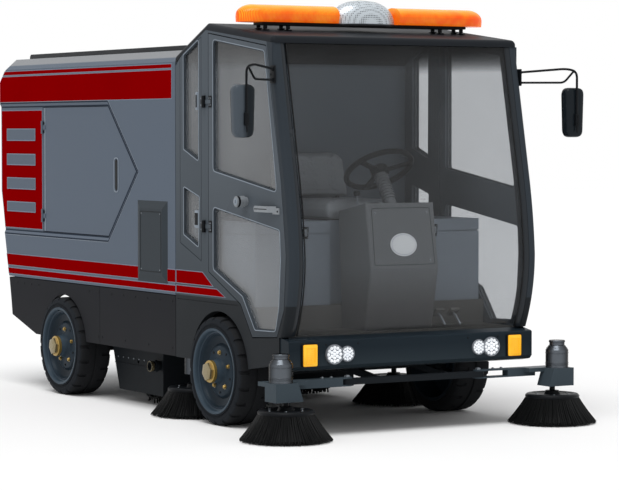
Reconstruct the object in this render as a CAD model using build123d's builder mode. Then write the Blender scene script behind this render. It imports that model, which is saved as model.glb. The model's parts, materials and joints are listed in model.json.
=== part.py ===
from build123d import *
from math import cos, pi, radians, sin
import os

os.makedirs("parts", exist_ok=True)

# Ride-on sweeper. The front faces -Y, the right side is -X, +Z is up, the floor is z = 0.
# Lengths are millimetres. Fore-and-aft places are written from the body datum, a cross plane
# behind the cab, and moved by y_datum so that the whole machine is centred on the origin.

# Body
half_width = 712.0
skirt_bottom = 310.0
body_bottom = 625.0
shoulder_z = 1816.0
shoulder_chamfer = 60.0
seam_y = -640.0
seam_gap = 6.0
tail_y = 1554.0
panel_gap = 5.0
skirt_wall = 30.0
fit_gap = 0.3
pin_play = 0.05

# Wheels
tyre_radius = 270.0
tyre_width = 196.0
tyre_proud = 32.0
tyre_outer_x = half_width + tyre_proud
tread_depth = 9.0
lugs_round = 20
shoulder_bevel = 22.0
rim_radius = 214.0
rim_recess = 26.0
hub_radius = 69.0
hub_nose = 22.0
front_axle_y = -1096.0
rear_axle_y = 697.0
front_arch_radius = 298.0
rear_arch_radius = 284.0
steer_angle = 25.0
kingpin_inset = 144.0
kingpin_x = tyre_outer_x - kingpin_inset
kingpin_radius = 18.0

# Cab
side_wall = 45.0
door_wall = 40.0
door_gap = 5.0
roof_wall = 34.0
roof_peak_y = -965.0
roof_peak_z = 2000.0
roof_front_y = -1632.0
roof_front_drop = 82.0
roof_rear_y = -700.0
roof_rear_drop = 120.0
glass_wall = 8.0
glass_set_back = 18.0
floor_z = 480.0
floor_wall = 25.0
seat_box_front = -1372.0
seat_box_bottom = 600.0
seat_box_top = 1016.0
seat_box_inner = 234.0

# Brushes
front_brush_x = half_width + 60.0
front_brush_y = -1862.0
front_brush_radius = 225.0
mid_brush_x = half_width - 103.0
mid_brush_y = -643.0
mid_brush_radius = 228.0
brush_clear = 4.0
brush_top = 147.0
shaft_top = 262.0
roller_y = -40.0
roller_radius = 184.0
roller_end_gap = 50.0

# Hinges
leaf_wall = 4.0
door_hinge_radius = 9.0
door_hinge_y = -954.0
door_hinge_height = 62.0
door_hinge_rows = [955.0, 1578.0]
hatch_hinge_radius = 6.0
hatch_hinge_height = 72.0
hatch_hinge_rows = [950.0, 1448.0]
rear_hinge_rows = [1240.0, 1560.0]

lamp_proud = 14.0
front_tip = front_brush_y - front_brush_radius
y_datum = -(front_tip + tail_y + lamp_proud) / 2


def placed(rows):
    """Side-view points, each y from the body datum and z, moved into the machine's frame."""
    return [(y + y_datum, z) for y, z in rows]


def span(a, b):
    """Two numbers in rising order."""
    return (a, b) if a < b else (b, a)


def side_prism(rows, x0, x1, grow=0.0, radius=0.0):
    """A solid of the side-view outline rows between two cross positions.

    The outline may be grown by a clearance, or shrunk by a negative one, and its corners rounded.
    """
    low, high = span(x0, x1)
    with BuildPart() as solid:
        with BuildSketch(Plane.YZ.offset(low)) as outline:
            with BuildLine():
                Polyline(*placed(rows), close=True)
            make_face()
            if grow:
                offset(amount=grow, kind=Kind.INTERSECTION)
            if radius:
                fillet(outline.vertices(), radius + grow)
        extrude(amount=high - low)
    return solid.part


def block(x0, x1, y0, y1, z0, z1):
    """A block between two corners, y from the body datum."""
    (x0, x1), (y0, y1), (z0, z1) = span(x0, x1), span(y0, y1), span(z0, z1)
    with BuildPart() as solid:
        with Locations(((x0 + x1) / 2, (y0 + y1) / 2 + y_datum, (z0 + z1) / 2)):
            Box(x1 - x0, y1 - y0, z1 - z0)
    return solid.part


def rod(start, end, radius):
    """A round bar between two points, y from the body datum."""
    a = Vector(start[0], start[1] + y_datum, start[2])
    b = Vector(end[0], end[1] + y_datum, end[2])
    with BuildPart() as solid:
        with BuildSketch(Plane(origin=a, z_dir=b - a)):
            Circle(radius)
        extrude(amount=(b - a).length)
    return solid.part


def cross_disc(x0, x1, y, z, radius):
    """A disc about a cross axis, from x0 to x1."""
    return rod((x0, y, z), (x1, y, z), radius)


def turned(profile, x, y):
    """A solid turned about an upright axis from rows of radius and height, y from the body datum."""
    with BuildPart() as solid:
        with BuildSketch(Plane.XZ):
            with BuildLine():
                Polyline(*profile, close=True)
            make_face()
        revolve(axis=Axis.Z)
    return Pos(x, y + y_datum, 0) * solid.part


def raised_panel(rows, x0, x1, bevel):
    """A side-view outline at x0 that narrows by bevel on every side up to x1."""
    with BuildPart() as solid:
        for x, grow in ((x0, 0), (x1, -bevel)):
            with BuildSketch(Plane.YZ.offset(x)):
                with BuildLine():
                    Polyline(*placed(rows), close=True)
                make_face()
                if grow:
                    offset(amount=grow, kind=Kind.INTERSECTION)
        loft(ruled=True)
    return solid.part


def groove(rows, face_x, side, width, depth):
    """A groove of the given width and depth along a closed side-view outline in the face at face_x."""
    with BuildPart() as cut:
        add(side_prism(rows, face_x + side, face_x - side * depth, grow=width / 2))
        add(side_prism(rows, face_x + 2 * side, face_x - side * (depth + 1), grow=-width / 2), mode=Mode.SUBTRACT)
    return cut.part


def hinge_leaf(axis, along, inward, reach, near, far, z_low, z_high):
    """A leaf from the hinge axis along a direction, its two faces near and far inward of the axis."""
    ax, ay = axis
    if along[0] == 0:
        return block(ax + inward[0] * near, ax + inward[0] * far,
                     ay + along[1] * reach[0], ay + along[1] * reach[1], z_low, z_high)
    return block(ax + along[0] * reach[0], ax + along[0] * reach[1],
                 ay + inward[1] * near, ay + inward[1] * far, z_low, z_high)


def hinge_pair(axis, along, inward, z_low, height, radius, carry, reach):
    """The moving and the fixed half of one hinge, side view y from the body datum.

    along points from the axis over the moving panel, inward from the axis into the panels' face.
    The moving leaf clears the fixed panel by fit_gap up to carry, and lies on the moving one beyond.
    """
    ax, ay = axis
    face = radius + fit_gap
    third = height / 3
    pin = radius / 2
    back = (-along[0], -along[1])
    low, high = z_low + third + fit_gap, z_low + 2 * third - fit_gap
    with BuildPart() as moving:
        add(rod((ax, ay, low), (ax, ay, high), radius))
        add(hinge_leaf(axis, along, inward, (0, reach), radius - leaf_wall, radius, low, high))
        add(hinge_leaf(axis, along, inward, (carry, reach), radius - leaf_wall, face, low, high))
        add(rod((ax, ay, z_low), (ax, ay, z_low + height), pin + pin_play), mode=Mode.SUBTRACT)
    with BuildPart() as fixed:
        for low, high in ((z_low, z_low + third), (z_low + 2 * third, z_low + height)):
            add(rod((ax, ay, low), (ax, ay, high), radius))
            add(hinge_leaf(axis, back, inward, (0, reach * 0.6), radius - leaf_wall, face, low, high))
        add(rod((ax, ay, z_low), (ax, ay, z_low + height), pin))
    return moving.part, fixed.part


def save(built, label):
    built.part.label = label
    export_step(built.part, f"parts/{label}.step")


# Roof line in side view, falling from its peak to the front and, more steeply, to the rear.
roof_front_z = roof_peak_z - roof_front_drop
roof_rear_z = roof_peak_z - roof_rear_drop


def roof_z(y):
    """Height of the roof's outer line at a fore-and-aft place."""
    if y <= roof_peak_y:
        return roof_peak_z + (y - roof_peak_y) * roof_front_drop / (roof_peak_y - roof_front_y)
    return roof_peak_z - (y - roof_peak_y) * roof_rear_drop / (roof_rear_y - roof_peak_y)


# Windscreen's outer line in side view: a straight upper run, then two arcs round the bulge.
screen_top = (-1628.0, roof_z(-1628.0) - roof_wall - fit_gap)
screen_bend = (-1756.0, 1253.0)
screen_mid = (-1791.0, 1050.0)
screen_bulge = (-1810.0, 850.0)
screen_low = (-1790.0, 659.0)
screen_foot = (-1731.0, 480.0)
screen_rows = (screen_top, screen_bend, screen_mid, screen_bulge, screen_low, screen_foot)

# Door outline and the panes, as y, z. Upper edges keep below the roof by named margins.
door_margin = 16.0
pane_margin = 76.0
pane_corner = 22.0
door_rear = -992.0
door_top = roof_z(door_rear) - roof_wall - door_margin
door_rows = [(door_rear, door_top), (door_rear, 762), (-1317, 618), (-1435, 462),
             (-1672, 478), (-1739, 612), (-1758, 870), (-1708, 1230), (-1566, roof_z(-1566) - roof_wall - 22)]
door_upper = [(-1039, roof_z(-1039) - pane_margin), (-1551, roof_z(-1551) - pane_margin - 6),
              (-1670, 1172), (-1041, 1266)]
door_lower = [(-1041, 1083), (-1698, 988), (-1706, 850), (-1690, 620), (-1657, 506), (-1461, 500),
              (-1339, 657), (-1041, 775)]
quarter_upper = [(-727, roof_z(-727) - 46), (-727, 1372), (-884, 1314), (-886, roof_z(-886) - 46)]
quarter_lower = [(-727, 1179), (-727, 940), (-884, 880), (-892, 1131)]
quarter_panel = [(-688, 1838), (-688, 896), (-914, 811), (-914, roof_z(-914) - 44), (-859, roof_z(-859) - 40)]


def draw_screen(inset):
    """The windscreen's outer line, set back by inset, from its top to its foot."""
    p = [(y + y_datum + inset, z) for y, z in screen_rows]
    Line(p[0], p[1])
    ThreePointArc(p[1], p[2], p[3])
    ThreePointArc(p[3], p[4], p[5])
    return p[0], p[5]


def screen_band(x0, x1, inset, depth):
    """The windscreen's side-view band, set back by inset from its outer line, depth thick."""
    low, high = span(x0, x1)
    with BuildPart() as solid:
        with BuildSketch(Plane.YZ.offset(low)):
            with BuildLine():
                outer_top, outer_foot = draw_screen(inset)
                inner_top, inner_foot = draw_screen(inset + depth)
                Line(outer_top, inner_top)
                Line(outer_foot, inner_foot)
            make_face()
        extrude(amount=high - low)
    return solid.part


# Chassis: two rails with posts for the body and the cab, joined by cross members.
rail_x = 300.0
rail_width = 60.0
rail_low = 400.0
rail_high = floor_z - floor_wall
rail_front = -1690.0
rail_rear = 1340.0
rail_inner = rail_x - rail_width / 2
rail_outer = rail_x + rail_width / 2
post_half_x = 28.0
post_half_y = 40.0
cross_half = 30.0
cross_rows = [-1660, -1000, -560, 420, 940, 1300]
cab_deck_wall = 14.0
cab_deck_low = seat_box_bottom - cab_deck_wall
mount_rows = [(-520, body_bottom), (320, body_bottom), (1240, body_bottom), (-1260, cab_deck_low),
              (-720, cab_deck_low)]
with BuildPart() as chassis_rails:
    for side in (-1, 1):
        add(block(side * rail_inner, side * rail_outer, rail_front, rail_rear, rail_low, rail_high))
        for y, z in mount_rows:
            add(block(side * rail_x - post_half_x, side * rail_x + post_half_x, y - post_half_y, y + post_half_y,
                      rail_high, z))
save(chassis_rails, "chassis_rails")

lift_x = 200.0
lift_y = -1420.0
lift_z = 300.0
lift_wall = 24.0
lift_pin = 12.0
lift_eye = 26.0
fork_gap = 1.0
cheek_wall = 8.0
tow_y = 1376.0
tow_radius = 13.0
tow_wall = 24.0
tow_half = 45.0
with BuildPart() as cross_members:
    for y in cross_rows:
        add(block(-rail_inner, rail_inner, y - cross_half, y + cross_half, rail_low, rail_high))
    # Cheeks with the pins that the brush lift turns on, under a bar of their own.
    add(block(-rail_inner, rail_inner, lift_y - lift_eye, lift_y + lift_eye, rail_low, rail_high))
    for side in (-1, 1):
        x = side * lift_x
        for edge in (-1, 1):
            inner = x + edge * (lift_wall / 2 + fork_gap)
            add(block(inner, inner + edge * cheek_wall, lift_y - lift_eye, lift_y + lift_eye, lift_z, rail_low))
            add(cross_disc(*span(inner, inner + edge * cheek_wall), lift_y, lift_z, lift_eye))
        reach = lift_wall / 2 + fork_gap + cheek_wall
        add(cross_disc(x - reach, x + reach, lift_y, lift_z, lift_pin))
    # Towing jaw behind the last cross member, round at its end, with an upright pin hole.
    jaw_low = rail_low + 10
    jaw_high = jaw_low + tow_wall
    add(block(-tow_half, tow_half, cross_rows[-1], tow_y, jaw_low, jaw_high))
    add(rod((0, tow_y, jaw_low), (0, tow_y, jaw_high), tow_half))
    add(rod((0, tow_y, jaw_low - 1), (0, tow_y, jaw_high + 1), tow_radius), mode=Mode.SUBTRACT)
save(cross_members, "cross_members")

# Front axle beam with a kingpin boss at each end, and the seats that carry it on the rails.
axle_half_height = 32.0
axle_half_depth = 35.0
boss_radius = 36.0
boss_half = 45.0
with BuildPart() as front_axle:
    add(block(-kingpin_x, kingpin_x, front_axle_y - axle_half_depth, front_axle_y + axle_half_depth,
              tyre_radius - axle_half_height, tyre_radius + axle_half_height))
    for side in (-1, 1):
        add(rod((side * kingpin_x, front_axle_y, tyre_radius - boss_half),
                (side * kingpin_x, front_axle_y, tyre_radius + boss_half), boss_radius))
        add(block(side * rail_inner, side * rail_outer, front_axle_y - axle_half_depth,
                  front_axle_y + axle_half_depth, tyre_radius, rail_low))
    for side in (-1, 1):
        add(rod((side * kingpin_x, front_axle_y, tyre_radius - boss_half - 1),
                (side * kingpin_x, front_axle_y, tyre_radius + boss_half + 1),
                kingpin_radius + pin_play), mode=Mode.SUBTRACT)
save(front_axle, "front_axle")

# Steering knuckles: a fork over the axle's boss with its pin, the stub axle and the steering arm.
stub_radius = 24.0
stub_end = tyre_outer_x - rim_recess - 6
ear_wall = 16.0
web_wall = 18.0
fork_reach = 60.0
arm_reach = 130.0
knuckle_names = {-1: "knuckle_right", 1: "knuckle_left"}
wheel_inner_x = tyre_outer_x - tyre_width
ear_low = tyre_radius - boss_half - fork_gap
ear_high = tyre_radius + boss_half + fork_gap
for side in (-1, 1):
    x_web = side * (kingpin_x + fork_reach)
    x_pin = side * kingpin_x
    with BuildPart() as knuckle:
        add(rod((x_pin, front_axle_y, ear_low - ear_wall),
                (x_pin, front_axle_y, ear_high + ear_wall), kingpin_radius))
        for z0, z1 in ((ear_low - ear_wall, ear_low), (ear_high, ear_high + ear_wall)):
            add(rod((x_pin, front_axle_y, z0), (x_pin, front_axle_y, z1), boss_radius))
            add(block(x_pin, x_web, front_axle_y - boss_radius, front_axle_y + boss_radius, z0, z1))
        add(block(x_web - side * web_wall, x_web, front_axle_y - boss_radius, front_axle_y + boss_radius,
                  ear_low - ear_wall, ear_high + ear_wall))
        add(rod((x_web, front_axle_y, tyre_radius), (side * stub_end, front_axle_y, tyre_radius), stub_radius))
        # The steering arm runs back from the lower ear, with an eye at its end.
        add(block(x_pin - 14, x_pin + 14, front_axle_y, front_axle_y + arm_reach,
                  ear_low - ear_wall, ear_low - 4))
        add(rod((x_pin, front_axle_y + arm_reach, ear_low - ear_wall),
                (x_pin, front_axle_y + arm_reach, ear_low - 4), 20))
        add(rod((x_pin, front_axle_y + arm_reach, ear_low - ear_wall - 1),
                (x_pin, front_axle_y + arm_reach, ear_low), 8), mode=Mode.SUBTRACT)
    save(knuckle, knuckle_names[side])

# Rear axle: a round beam with the drive's swollen housing and two spring seats.
tube_radius = 38.0
housing_radius = 105.0
spring_half = 45.0
tube_end = wheel_inner_x - 30
with BuildPart() as rear_axle:
    with BuildSketch(Plane.XY.offset(tyre_radius)):
        with BuildLine():
            y = rear_axle_y + y_datum
            Polyline((-housing_radius, y + tube_radius), (-tube_end, y + tube_radius), (-tube_end, y + stub_radius),
                     (-stub_end, y + stub_radius), (-stub_end, y), (stub_end, y), (stub_end, y + stub_radius),
                     (tube_end, y + stub_radius), (tube_end, y + tube_radius), (housing_radius, y + tube_radius))
            ThreePointArc((housing_radius, y + tube_radius), (0, y + housing_radius),
                          (-housing_radius, y + tube_radius))
        make_face()
    revolve(axis=Axis((0, y, tyre_radius), (1, 0, 0)))
    for side in (-1, 1):
        add(block(side * rail_inner, side * rail_outer, rear_axle_y - spring_half, rear_axle_y + spring_half,
                  tyre_radius, rail_low))
save(rear_axle, "rear_axle")


# Wheels, made once about the origin with the outer face towards +X, then placed.
def rim_solid():
    """A dished rim: bead seats, a stepped well, a raised hub plate with five holes' worth of bosses."""
    half = tyre_width / 2
    disc_x = half - rim_recess
    bed = rim_radius - 8
    back_x = stub_end - wheel_inner_x - half + 1
    with BuildPart() as rim:
        with BuildSketch(Plane.XZ):
            with BuildLine():
                Polyline((-half, rim_radius), (-half + 14, rim_radius), (-half + 26, bed), (disc_x - 14, bed),
                         (disc_x + 12, rim_radius), (half, rim_radius), (half, rim_radius - 14),
                         (disc_x + 8, rim_radius - 26), (disc_x, rim_radius - 40),
                         (disc_x, hub_radius + 74), (disc_x + 16, hub_radius + 62),
                         (disc_x + 16, hub_radius), (half + hub_nose, hub_radius - 22),
                         (half + hub_nose, 0), (back_x, 0), (back_x, stub_radius + pin_play),
                         (disc_x - 50, stub_radius + pin_play), (disc_x - 50, hub_radius - 4),
                         (disc_x - 12, hub_radius + 20), (disc_x - 12, rim_radius - 30),
                         (-half + 30, rim_radius - 20), (-half, rim_radius - 14),
                         close=True)
            make_face()
        revolve(axis=Axis.X)
    return rim.part


slot_width = 12.0
slot_long = 60.0
slot_side = 40.0
facet_turn = 180.0 / (2 * lugs_round)


def tyre_slots():
    """Slots across each half of the tread, staggered by half a pitch."""
    slots = []
    for end, turn in ((1, 0.0), (-1, facet_turn * 2)):
        for k in range(lugs_round):
            spin = Rot(turn + k * 360.0 / lugs_round, 0, 0)
            slots.append(spin * Pos(end * tyre_width / 2, 0, tyre_radius)
                         * Box(2 * slot_long, slot_width, 2 * tread_depth))
    return slots


def tyre_solid(slots):
    """A block-tread tyre: flats round the tread, bevelled shoulders and a row of lugs on each side."""
    half = tyre_width / 2
    with BuildPart() as tyre:
        with BuildSketch(Plane.YZ.offset(-half)):
            RegularPolygon(tyre_radius, 2 * lugs_round, major_radius=False, rotation=facet_turn)
        extrude(amount=tyre_width)
        rims = tyre.faces().filter_by(Axis.X).edges()
        chamfer(rims, length=shoulder_bevel)
        with BuildSketch(Plane.YZ.offset(-half)):
            Circle(rim_radius + fit_gap)
        extrude(amount=tyre_width, mode=Mode.SUBTRACT)
        add(slots, mode=Mode.SUBTRACT)
    return tyre.part


wheel_rows = [("fr", -1, front_axle_y), ("fl", 1, front_axle_y), ("rr", -1, rear_axle_y), ("rl", 1, rear_axle_y)]
rim_shape = rim_solid()
tyre_shape = tyre_solid(tyre_slots())
wheel_x = tyre_outer_x - tyre_width / 2
for name, side, axle_y in wheel_rows:
    place = Pos(side * wheel_x, axle_y + y_datum, tyre_radius) * Rot(0, 0, 0 if side > 0 else 180)
    with BuildPart() as rim:
        add(place * rim_shape)
    save(rim, f"rim_{name}")
    with BuildPart() as tyre:
        add(place * tyre_shape)
    save(tyre, f"tyre_{name}")

# Hopper body: the raked tail, chamfered shoulders, the sunk panel of its sides and the doors' pockets.
body_front = seam_y + seam_gap
top_z = shoulder_z + shoulder_chamfer
tail_rows = [(1435, body_bottom), (1498, 884), (tail_y, 1119), (tail_y, 1741), (1472, shoulder_z), (1452, top_z)]
body_rows = [(body_front, body_bottom)] + tail_rows + [(body_front, top_z)]
recess_depth = 8.0
recess_bevel = 14.0
recess_high = 1618.0
recess_low = 876.0
recess_rows = [(tail_y + 40, recess_high), (144, recess_high), (-212, 1250), (140, recess_low),
               (tail_y + 40, recess_low)]
hatch_rear = 977.0
hatch_face = half_width - recess_depth
hatch_rows = [(hatch_rear, recess_high - 24), (154, recess_high - 24), (-176, 1250), (152, recess_low + 24),
              (hatch_rear, recess_low + 24)]
hatch_wall = 24.0
pocket_play = 4.0
rear_door_half = half_width - 192.0
rear_door_low = 1150.0
rear_door_high = 1700.0


def hatch_hinge(side, z):
    axis = (side * (hatch_face + hatch_hinge_radius + fit_gap), hatch_rear + panel_gap / 2)
    return hinge_pair(axis, (0, -1), (-side, 0), z, hatch_hinge_height, hatch_hinge_radius, panel_gap, 34)


def rear_hinge(z):
    axis = (-rear_door_half - panel_gap / 2, tail_y + hatch_hinge_radius + fit_gap)
    return hinge_pair(axis, (1, 0), (0, -1), z, hatch_hinge_height, hatch_hinge_radius, panel_gap, 34)


with BuildPart() as hopper_body:
    add(side_prism(body_rows, -half_width, half_width))
    top_edges = (hopper_body.edges().filter_by(Axis.Y)
                 .filter_by(lambda e: abs(e.center().Z - top_z) < 1))
    chamfer(top_edges, length=shoulder_chamfer)
    for side in (-1, 1):
        # The sunk panel narrows inwards, and the hatch has a pocket of its own in it.
        deep = side * hatch_face
        add(raised_panel(recess_rows, side * half_width, deep, recess_bevel), mode=Mode.SUBTRACT)
        add(side_prism(hatch_rows, side * half_width, side * (hatch_face - hatch_wall - pocket_play), grow=panel_gap),
            mode=Mode.SUBTRACT)
    add(block(-rear_door_half - panel_gap, rear_door_half + panel_gap, tail_y - hatch_wall - pocket_play, tail_y + 1,
              rear_door_low - panel_gap, rear_door_high + panel_gap), mode=Mode.SUBTRACT)
    for side in (-1, 1):
        for z in hatch_hinge_rows:
            add(hatch_hinge(side, z)[1])
    for z in rear_hinge_rows:
        add(rear_hinge(z)[1])
save(hopper_body, "hopper_body")

# Side hatches, hinged along their rear edge, with an upright slot handle let into the front end.
slot_y = 56.0
slot_low = 1144.0
slot_high = 1313.0
slot_half = 13.0
slot_deep = 10.0
hatch_names = {-1: "hatch_right", 1: "hatch_left"}
for side in (-1, 1):
    face = side * hatch_face
    with BuildPart() as hatch:
        add(side_prism(hatch_rows, face, face - side * hatch_wall))
        deep = face - side * slot_deep
        add(block(face, deep, slot_y - slot_half, slot_y + slot_half, slot_low + slot_half, slot_high - slot_half),
            mode=Mode.SUBTRACT)
        for z in (slot_low + slot_half, slot_high - slot_half):
            add(cross_disc(*span(face, deep), slot_y, z, slot_half), mode=Mode.SUBTRACT)
        for z in hatch_hinge_rows:
            add(hatch_hinge(side, z)[0])
    save(hatch, hatch_names[side])

# Louvres behind the hatch, each a wedge that stands out at its lower edge.
louvre_rows = [(1407, 1477), (1267, 1333), (1129, 1196), (999, 1058)]
louvre_front = 1080.0
louvre_rear = 1470.0
louvre_proud = 12.0
with BuildPart() as side_louvres:
    for side in (-1, 1):
        for z_low, z_high in louvre_rows:
            with BuildSketch(Plane.XZ.offset(-(louvre_front + y_datum))):
                with BuildLine():
                    Polyline((side * hatch_face, z_low), (side * (hatch_face + louvre_proud), z_low),
                             (side * (hatch_face + 2), z_high), (side * hatch_face, z_high), close=True)
                make_face()
            extrude(amount=-(louvre_rear - louvre_front))
save(side_louvres, "side_louvres")

# Raised vent boxes on the body sides, bevelled all round.
vent_rows = [(-550, 677), (-211, 677), (-211, 1101), (-550, 1101)]
vent_proud = 12.0
vent_bevel = 40.0
with BuildPart() as vent_boxes:
    for side in (-1, 1):
        add(raised_panel(vent_rows, side * half_width, side * (half_width + vent_proud), vent_bevel))
save(vent_boxes, "vent_boxes")

# Rails along the top of the body.
rail_inset = 30.0
top_rail_half = 14.0
top_rail_height = 26.0
top_rail_rear = 1300.0
with BuildPart() as top_rails:
    for side in (-1, 1):
        x = side * (half_width - shoulder_chamfer - rail_inset)
        add(block(x - top_rail_half, x + top_rail_half, body_front + 14, top_rail_rear,
                  top_z, top_z + top_rail_height))
    ends = top_rails.edges().filter_by(Axis.X).filter_by(lambda e: e.center().Z > top_z + 1)
    chamfer(ends, length=top_rail_height / 2)
save(top_rails, "top_rails")

# Black side skirts under the body, with the rear wheel's arch and the diagonal tail.
skirt_split = 245.0
split_half = 2.0
skirt_top = body_bottom - panel_gap
lip_wall = 12.0
lip_height = 20.0
skirt_front_rows = [(body_front, skirt_bottom), (skirt_split - split_half, skirt_bottom),
                    (skirt_split - split_half, skirt_top), (body_front, skirt_top)]
skirt_rear_rows = [(skirt_split + split_half, skirt_bottom), (1066, skirt_bottom), (1392, 404), (1405, 484),
                   (1432, skirt_top), (skirt_split + split_half, skirt_top)]
with BuildPart() as side_skirts:
    for side in (-1, 1):
        face = side * half_width
        back = side * (half_width - skirt_wall)
        lip = back + side * lip_wall
        add(side_prism(skirt_front_rows, face, back))
        add(side_prism(skirt_rear_rows, face, back))
        for y0, y1 in ((body_front, skirt_split - split_half), (skirt_split + split_half, 1400)):
            add(block(lip, back, y0, y1, skirt_top - lip_height, body_bottom))
        add(cross_disc(*span(face + side, back - side), rear_axle_y, tyre_radius, rear_arch_radius),
            mode=Mode.SUBTRACT)
save(side_skirts, "side_skirts")

# Rear door over the tail, hinged on the right, and the tail lamps beside it.
press_inset = 70.0
press_depth = 6.0
with BuildPart() as rear_door:
    add(block(-rear_door_half, rear_door_half, tail_y - hatch_wall, tail_y, rear_door_low, rear_door_high))
    add(block(-rear_door_half + press_inset, rear_door_half - press_inset, tail_y - press_depth, tail_y + 1,
              rear_door_low + press_inset, rear_door_high - press_inset), mode=Mode.SUBTRACT)
    for z in rear_hinge_rows:
        add(rear_hinge(z)[0])
save(rear_door, "rear_door")

tail_lamp_x = (half_width + rear_door_half) / 2 + 14
tail_lamp_half = 40.0
tail_lamp_low = 1200.0
tail_lamp_high = 1460.0
with BuildPart() as tail_lamps:
    for side in (-1, 1):
        x = side * tail_lamp_x
        add(block(x - tail_lamp_half, x + tail_lamp_half, tail_y, tail_y + lamp_proud,
                  tail_lamp_low, tail_lamp_high))
    fillet(tail_lamps.edges().filter_by(Axis.Y), 10)
save(tail_lamps, "tail_lamps")

# Cab sides: one panel each, from the seam to the windscreen, with door opening, panes and wheel arch.
cab_low = 308.0
fender_front = -1694.0
fender_lip = [(fender_front, 340), (-1626, 336), (-1333, 294), (-1333, cab_low)]
pillar_round = 24.0
crease_width = 4.0
crease_depth = 3.0
crease_z = 608.0
side_names = {-1: "cab_side_right", 1: "cab_side_left"}


def door_hinge(side, z):
    axis = (side * (half_width + door_hinge_radius + fit_gap), door_hinge_y)
    carry = door_hinge_y - door_rear + 1
    return hinge_pair(axis, (0, -1), (-side, 0), z, door_hinge_height, door_hinge_radius, carry, carry + 26)


def cab_panel(x0, x1):
    """The cab's whole side outline between two cross positions, following the windscreen's line."""
    low, high = span(x0, x1)
    with BuildPart() as solid:
        with BuildSketch(Plane.YZ.offset(low)):
            with BuildLine():
                top, foot = draw_screen(0)
                front = placed([(fender_front, screen_foot[1] - 4)] + fender_lip)
                rear = placed([(seam_y, cab_low), (seam_y, roof_z(seam_y) - 60),
                               (roof_rear_y, roof_rear_z - roof_wall), (roof_peak_y, roof_peak_z - roof_wall),
                               (screen_top[0], screen_top[1] + fit_gap)])
                Polyline(foot, *front, *rear, top)
            make_face()
        extrude(amount=high - low)
    return solid.part


for side in (-1, 1):
    face = side * half_width
    back = side * (half_width - side_wall)
    with BuildPart() as cab_side:
        add(cab_panel(face, back))
        front_edges = (cab_side.faces().filter_by(lambda f: abs(f.center().X - face) < 1).edges()
                       .filter_by(lambda e: e.center().Y < y_datum + screen_foot[1] * 0 - 1640 and e.center().Z > 490))
        fillet(front_edges, pillar_round)
        add(side_prism(door_rows, face + side, back - side, grow=door_gap), mode=Mode.SUBTRACT)
        for rows in (quarter_upper, quarter_lower):
            add(side_prism(rows, face + side, back - side, radius=pane_corner / 2), mode=Mode.SUBTRACT)
        add(cross_disc(*span(face + side, back - side), front_axle_y, tyre_radius, front_arch_radius),
            mode=Mode.SUBTRACT)
        # Creases: round the quarter panel, and where the fender meets the panel above it.
        add(groove(quarter_panel, face, side, crease_width, crease_depth), mode=Mode.SUBTRACT)
        add(block(face + side, face - side * crease_depth, seam_y - 20, -1290,
                  crease_z - crease_width / 2, crease_z + crease_width / 2), mode=Mode.SUBTRACT)
        for z in door_hinge_rows:
            add(door_hinge(side, z)[1])
    save(cab_side, side_names[side])

# Roof: a bent panel over the cab with rounded corners and edges.
roof_corner = 24.0
roof_edge = 26.0
rear_skirt = 20.0
roof_rows = [(seam_y, 1812), (seam_y, roof_rear_z - 28), (roof_rear_y, roof_rear_z), (roof_peak_y, roof_peak_z),
             (roof_front_y, roof_front_z), (roof_front_y, roof_front_z - roof_wall),
             (roof_peak_y, roof_peak_z - roof_wall), (roof_rear_y, roof_rear_z - roof_wall),
             (seam_y - rear_skirt, roof_rear_z - 60), (seam_y - rear_skirt, 1812)]
with BuildPart() as cab_roof:
    add(side_prism(roof_rows, -half_width, half_width))
    corners = cab_roof.edges().filter_by(lambda e: e.center().Y < roof_front_y + y_datum + 1
                                         and abs(abs(e.center().X) - half_width) < 1)
    fillet(corners, roof_corner)
    top_faces = cab_roof.faces().filter_by(lambda f: f.normal_at().Z > 0.9 and f.center().Z > 1800)
    rims = top_faces.edges().filter_by(lambda e: abs(e.center().X) > half_width - roof_corner
                                       or e.center().Y < roof_front_y + y_datum + roof_corner)
    fillet(rims, roof_edge)
save(cab_roof, "cab_roof")

# A pillars round the front corners, outside the windscreen's ends.
pillar_back = 46.0
pillar_width = 30.0
pillar_inset = 2.0
with BuildPart() as a_pillars:
    for side in (-1, 1):
        outer = side * (half_width - side_wall - fit_gap)
        inner = side * (half_width - side_wall - pillar_width)
        add(screen_band(outer, inner, pillar_inset, pillar_back))
save(a_pillars, "a_pillars")

# Panes: windscreen between the pillars, quarter panes, rear pane.
pane_half = half_width - side_wall - pillar_width - fit_gap
glass_inset = 4.0
rear_wall_y = seam_y - 20
rear_wall_wall = 20.0
rear_wall_top = 1812.0
rear_pane_half = half_width - 232.0
rear_pane_low = 1180.0
rear_pane_high = 1740.0
with BuildPart() as cab_glass:
    add(screen_band(-pane_half, pane_half, glass_inset, glass_wall))
    for side in (-1, 1):
        x = side * (half_width - glass_set_back)
        for rows in (quarter_upper, quarter_lower):
            add(side_prism(rows, x - glass_wall / 2, x + glass_wall / 2, grow=-fit_gap, radius=pane_corner / 2))
    add(block(-rear_pane_half + fit_gap, rear_pane_half - fit_gap, rear_wall_y + 6, rear_wall_y + 6 + glass_wall,
              rear_pane_low + fit_gap, rear_pane_high - fit_gap))
save(cab_glass, "cab_glass")

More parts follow.
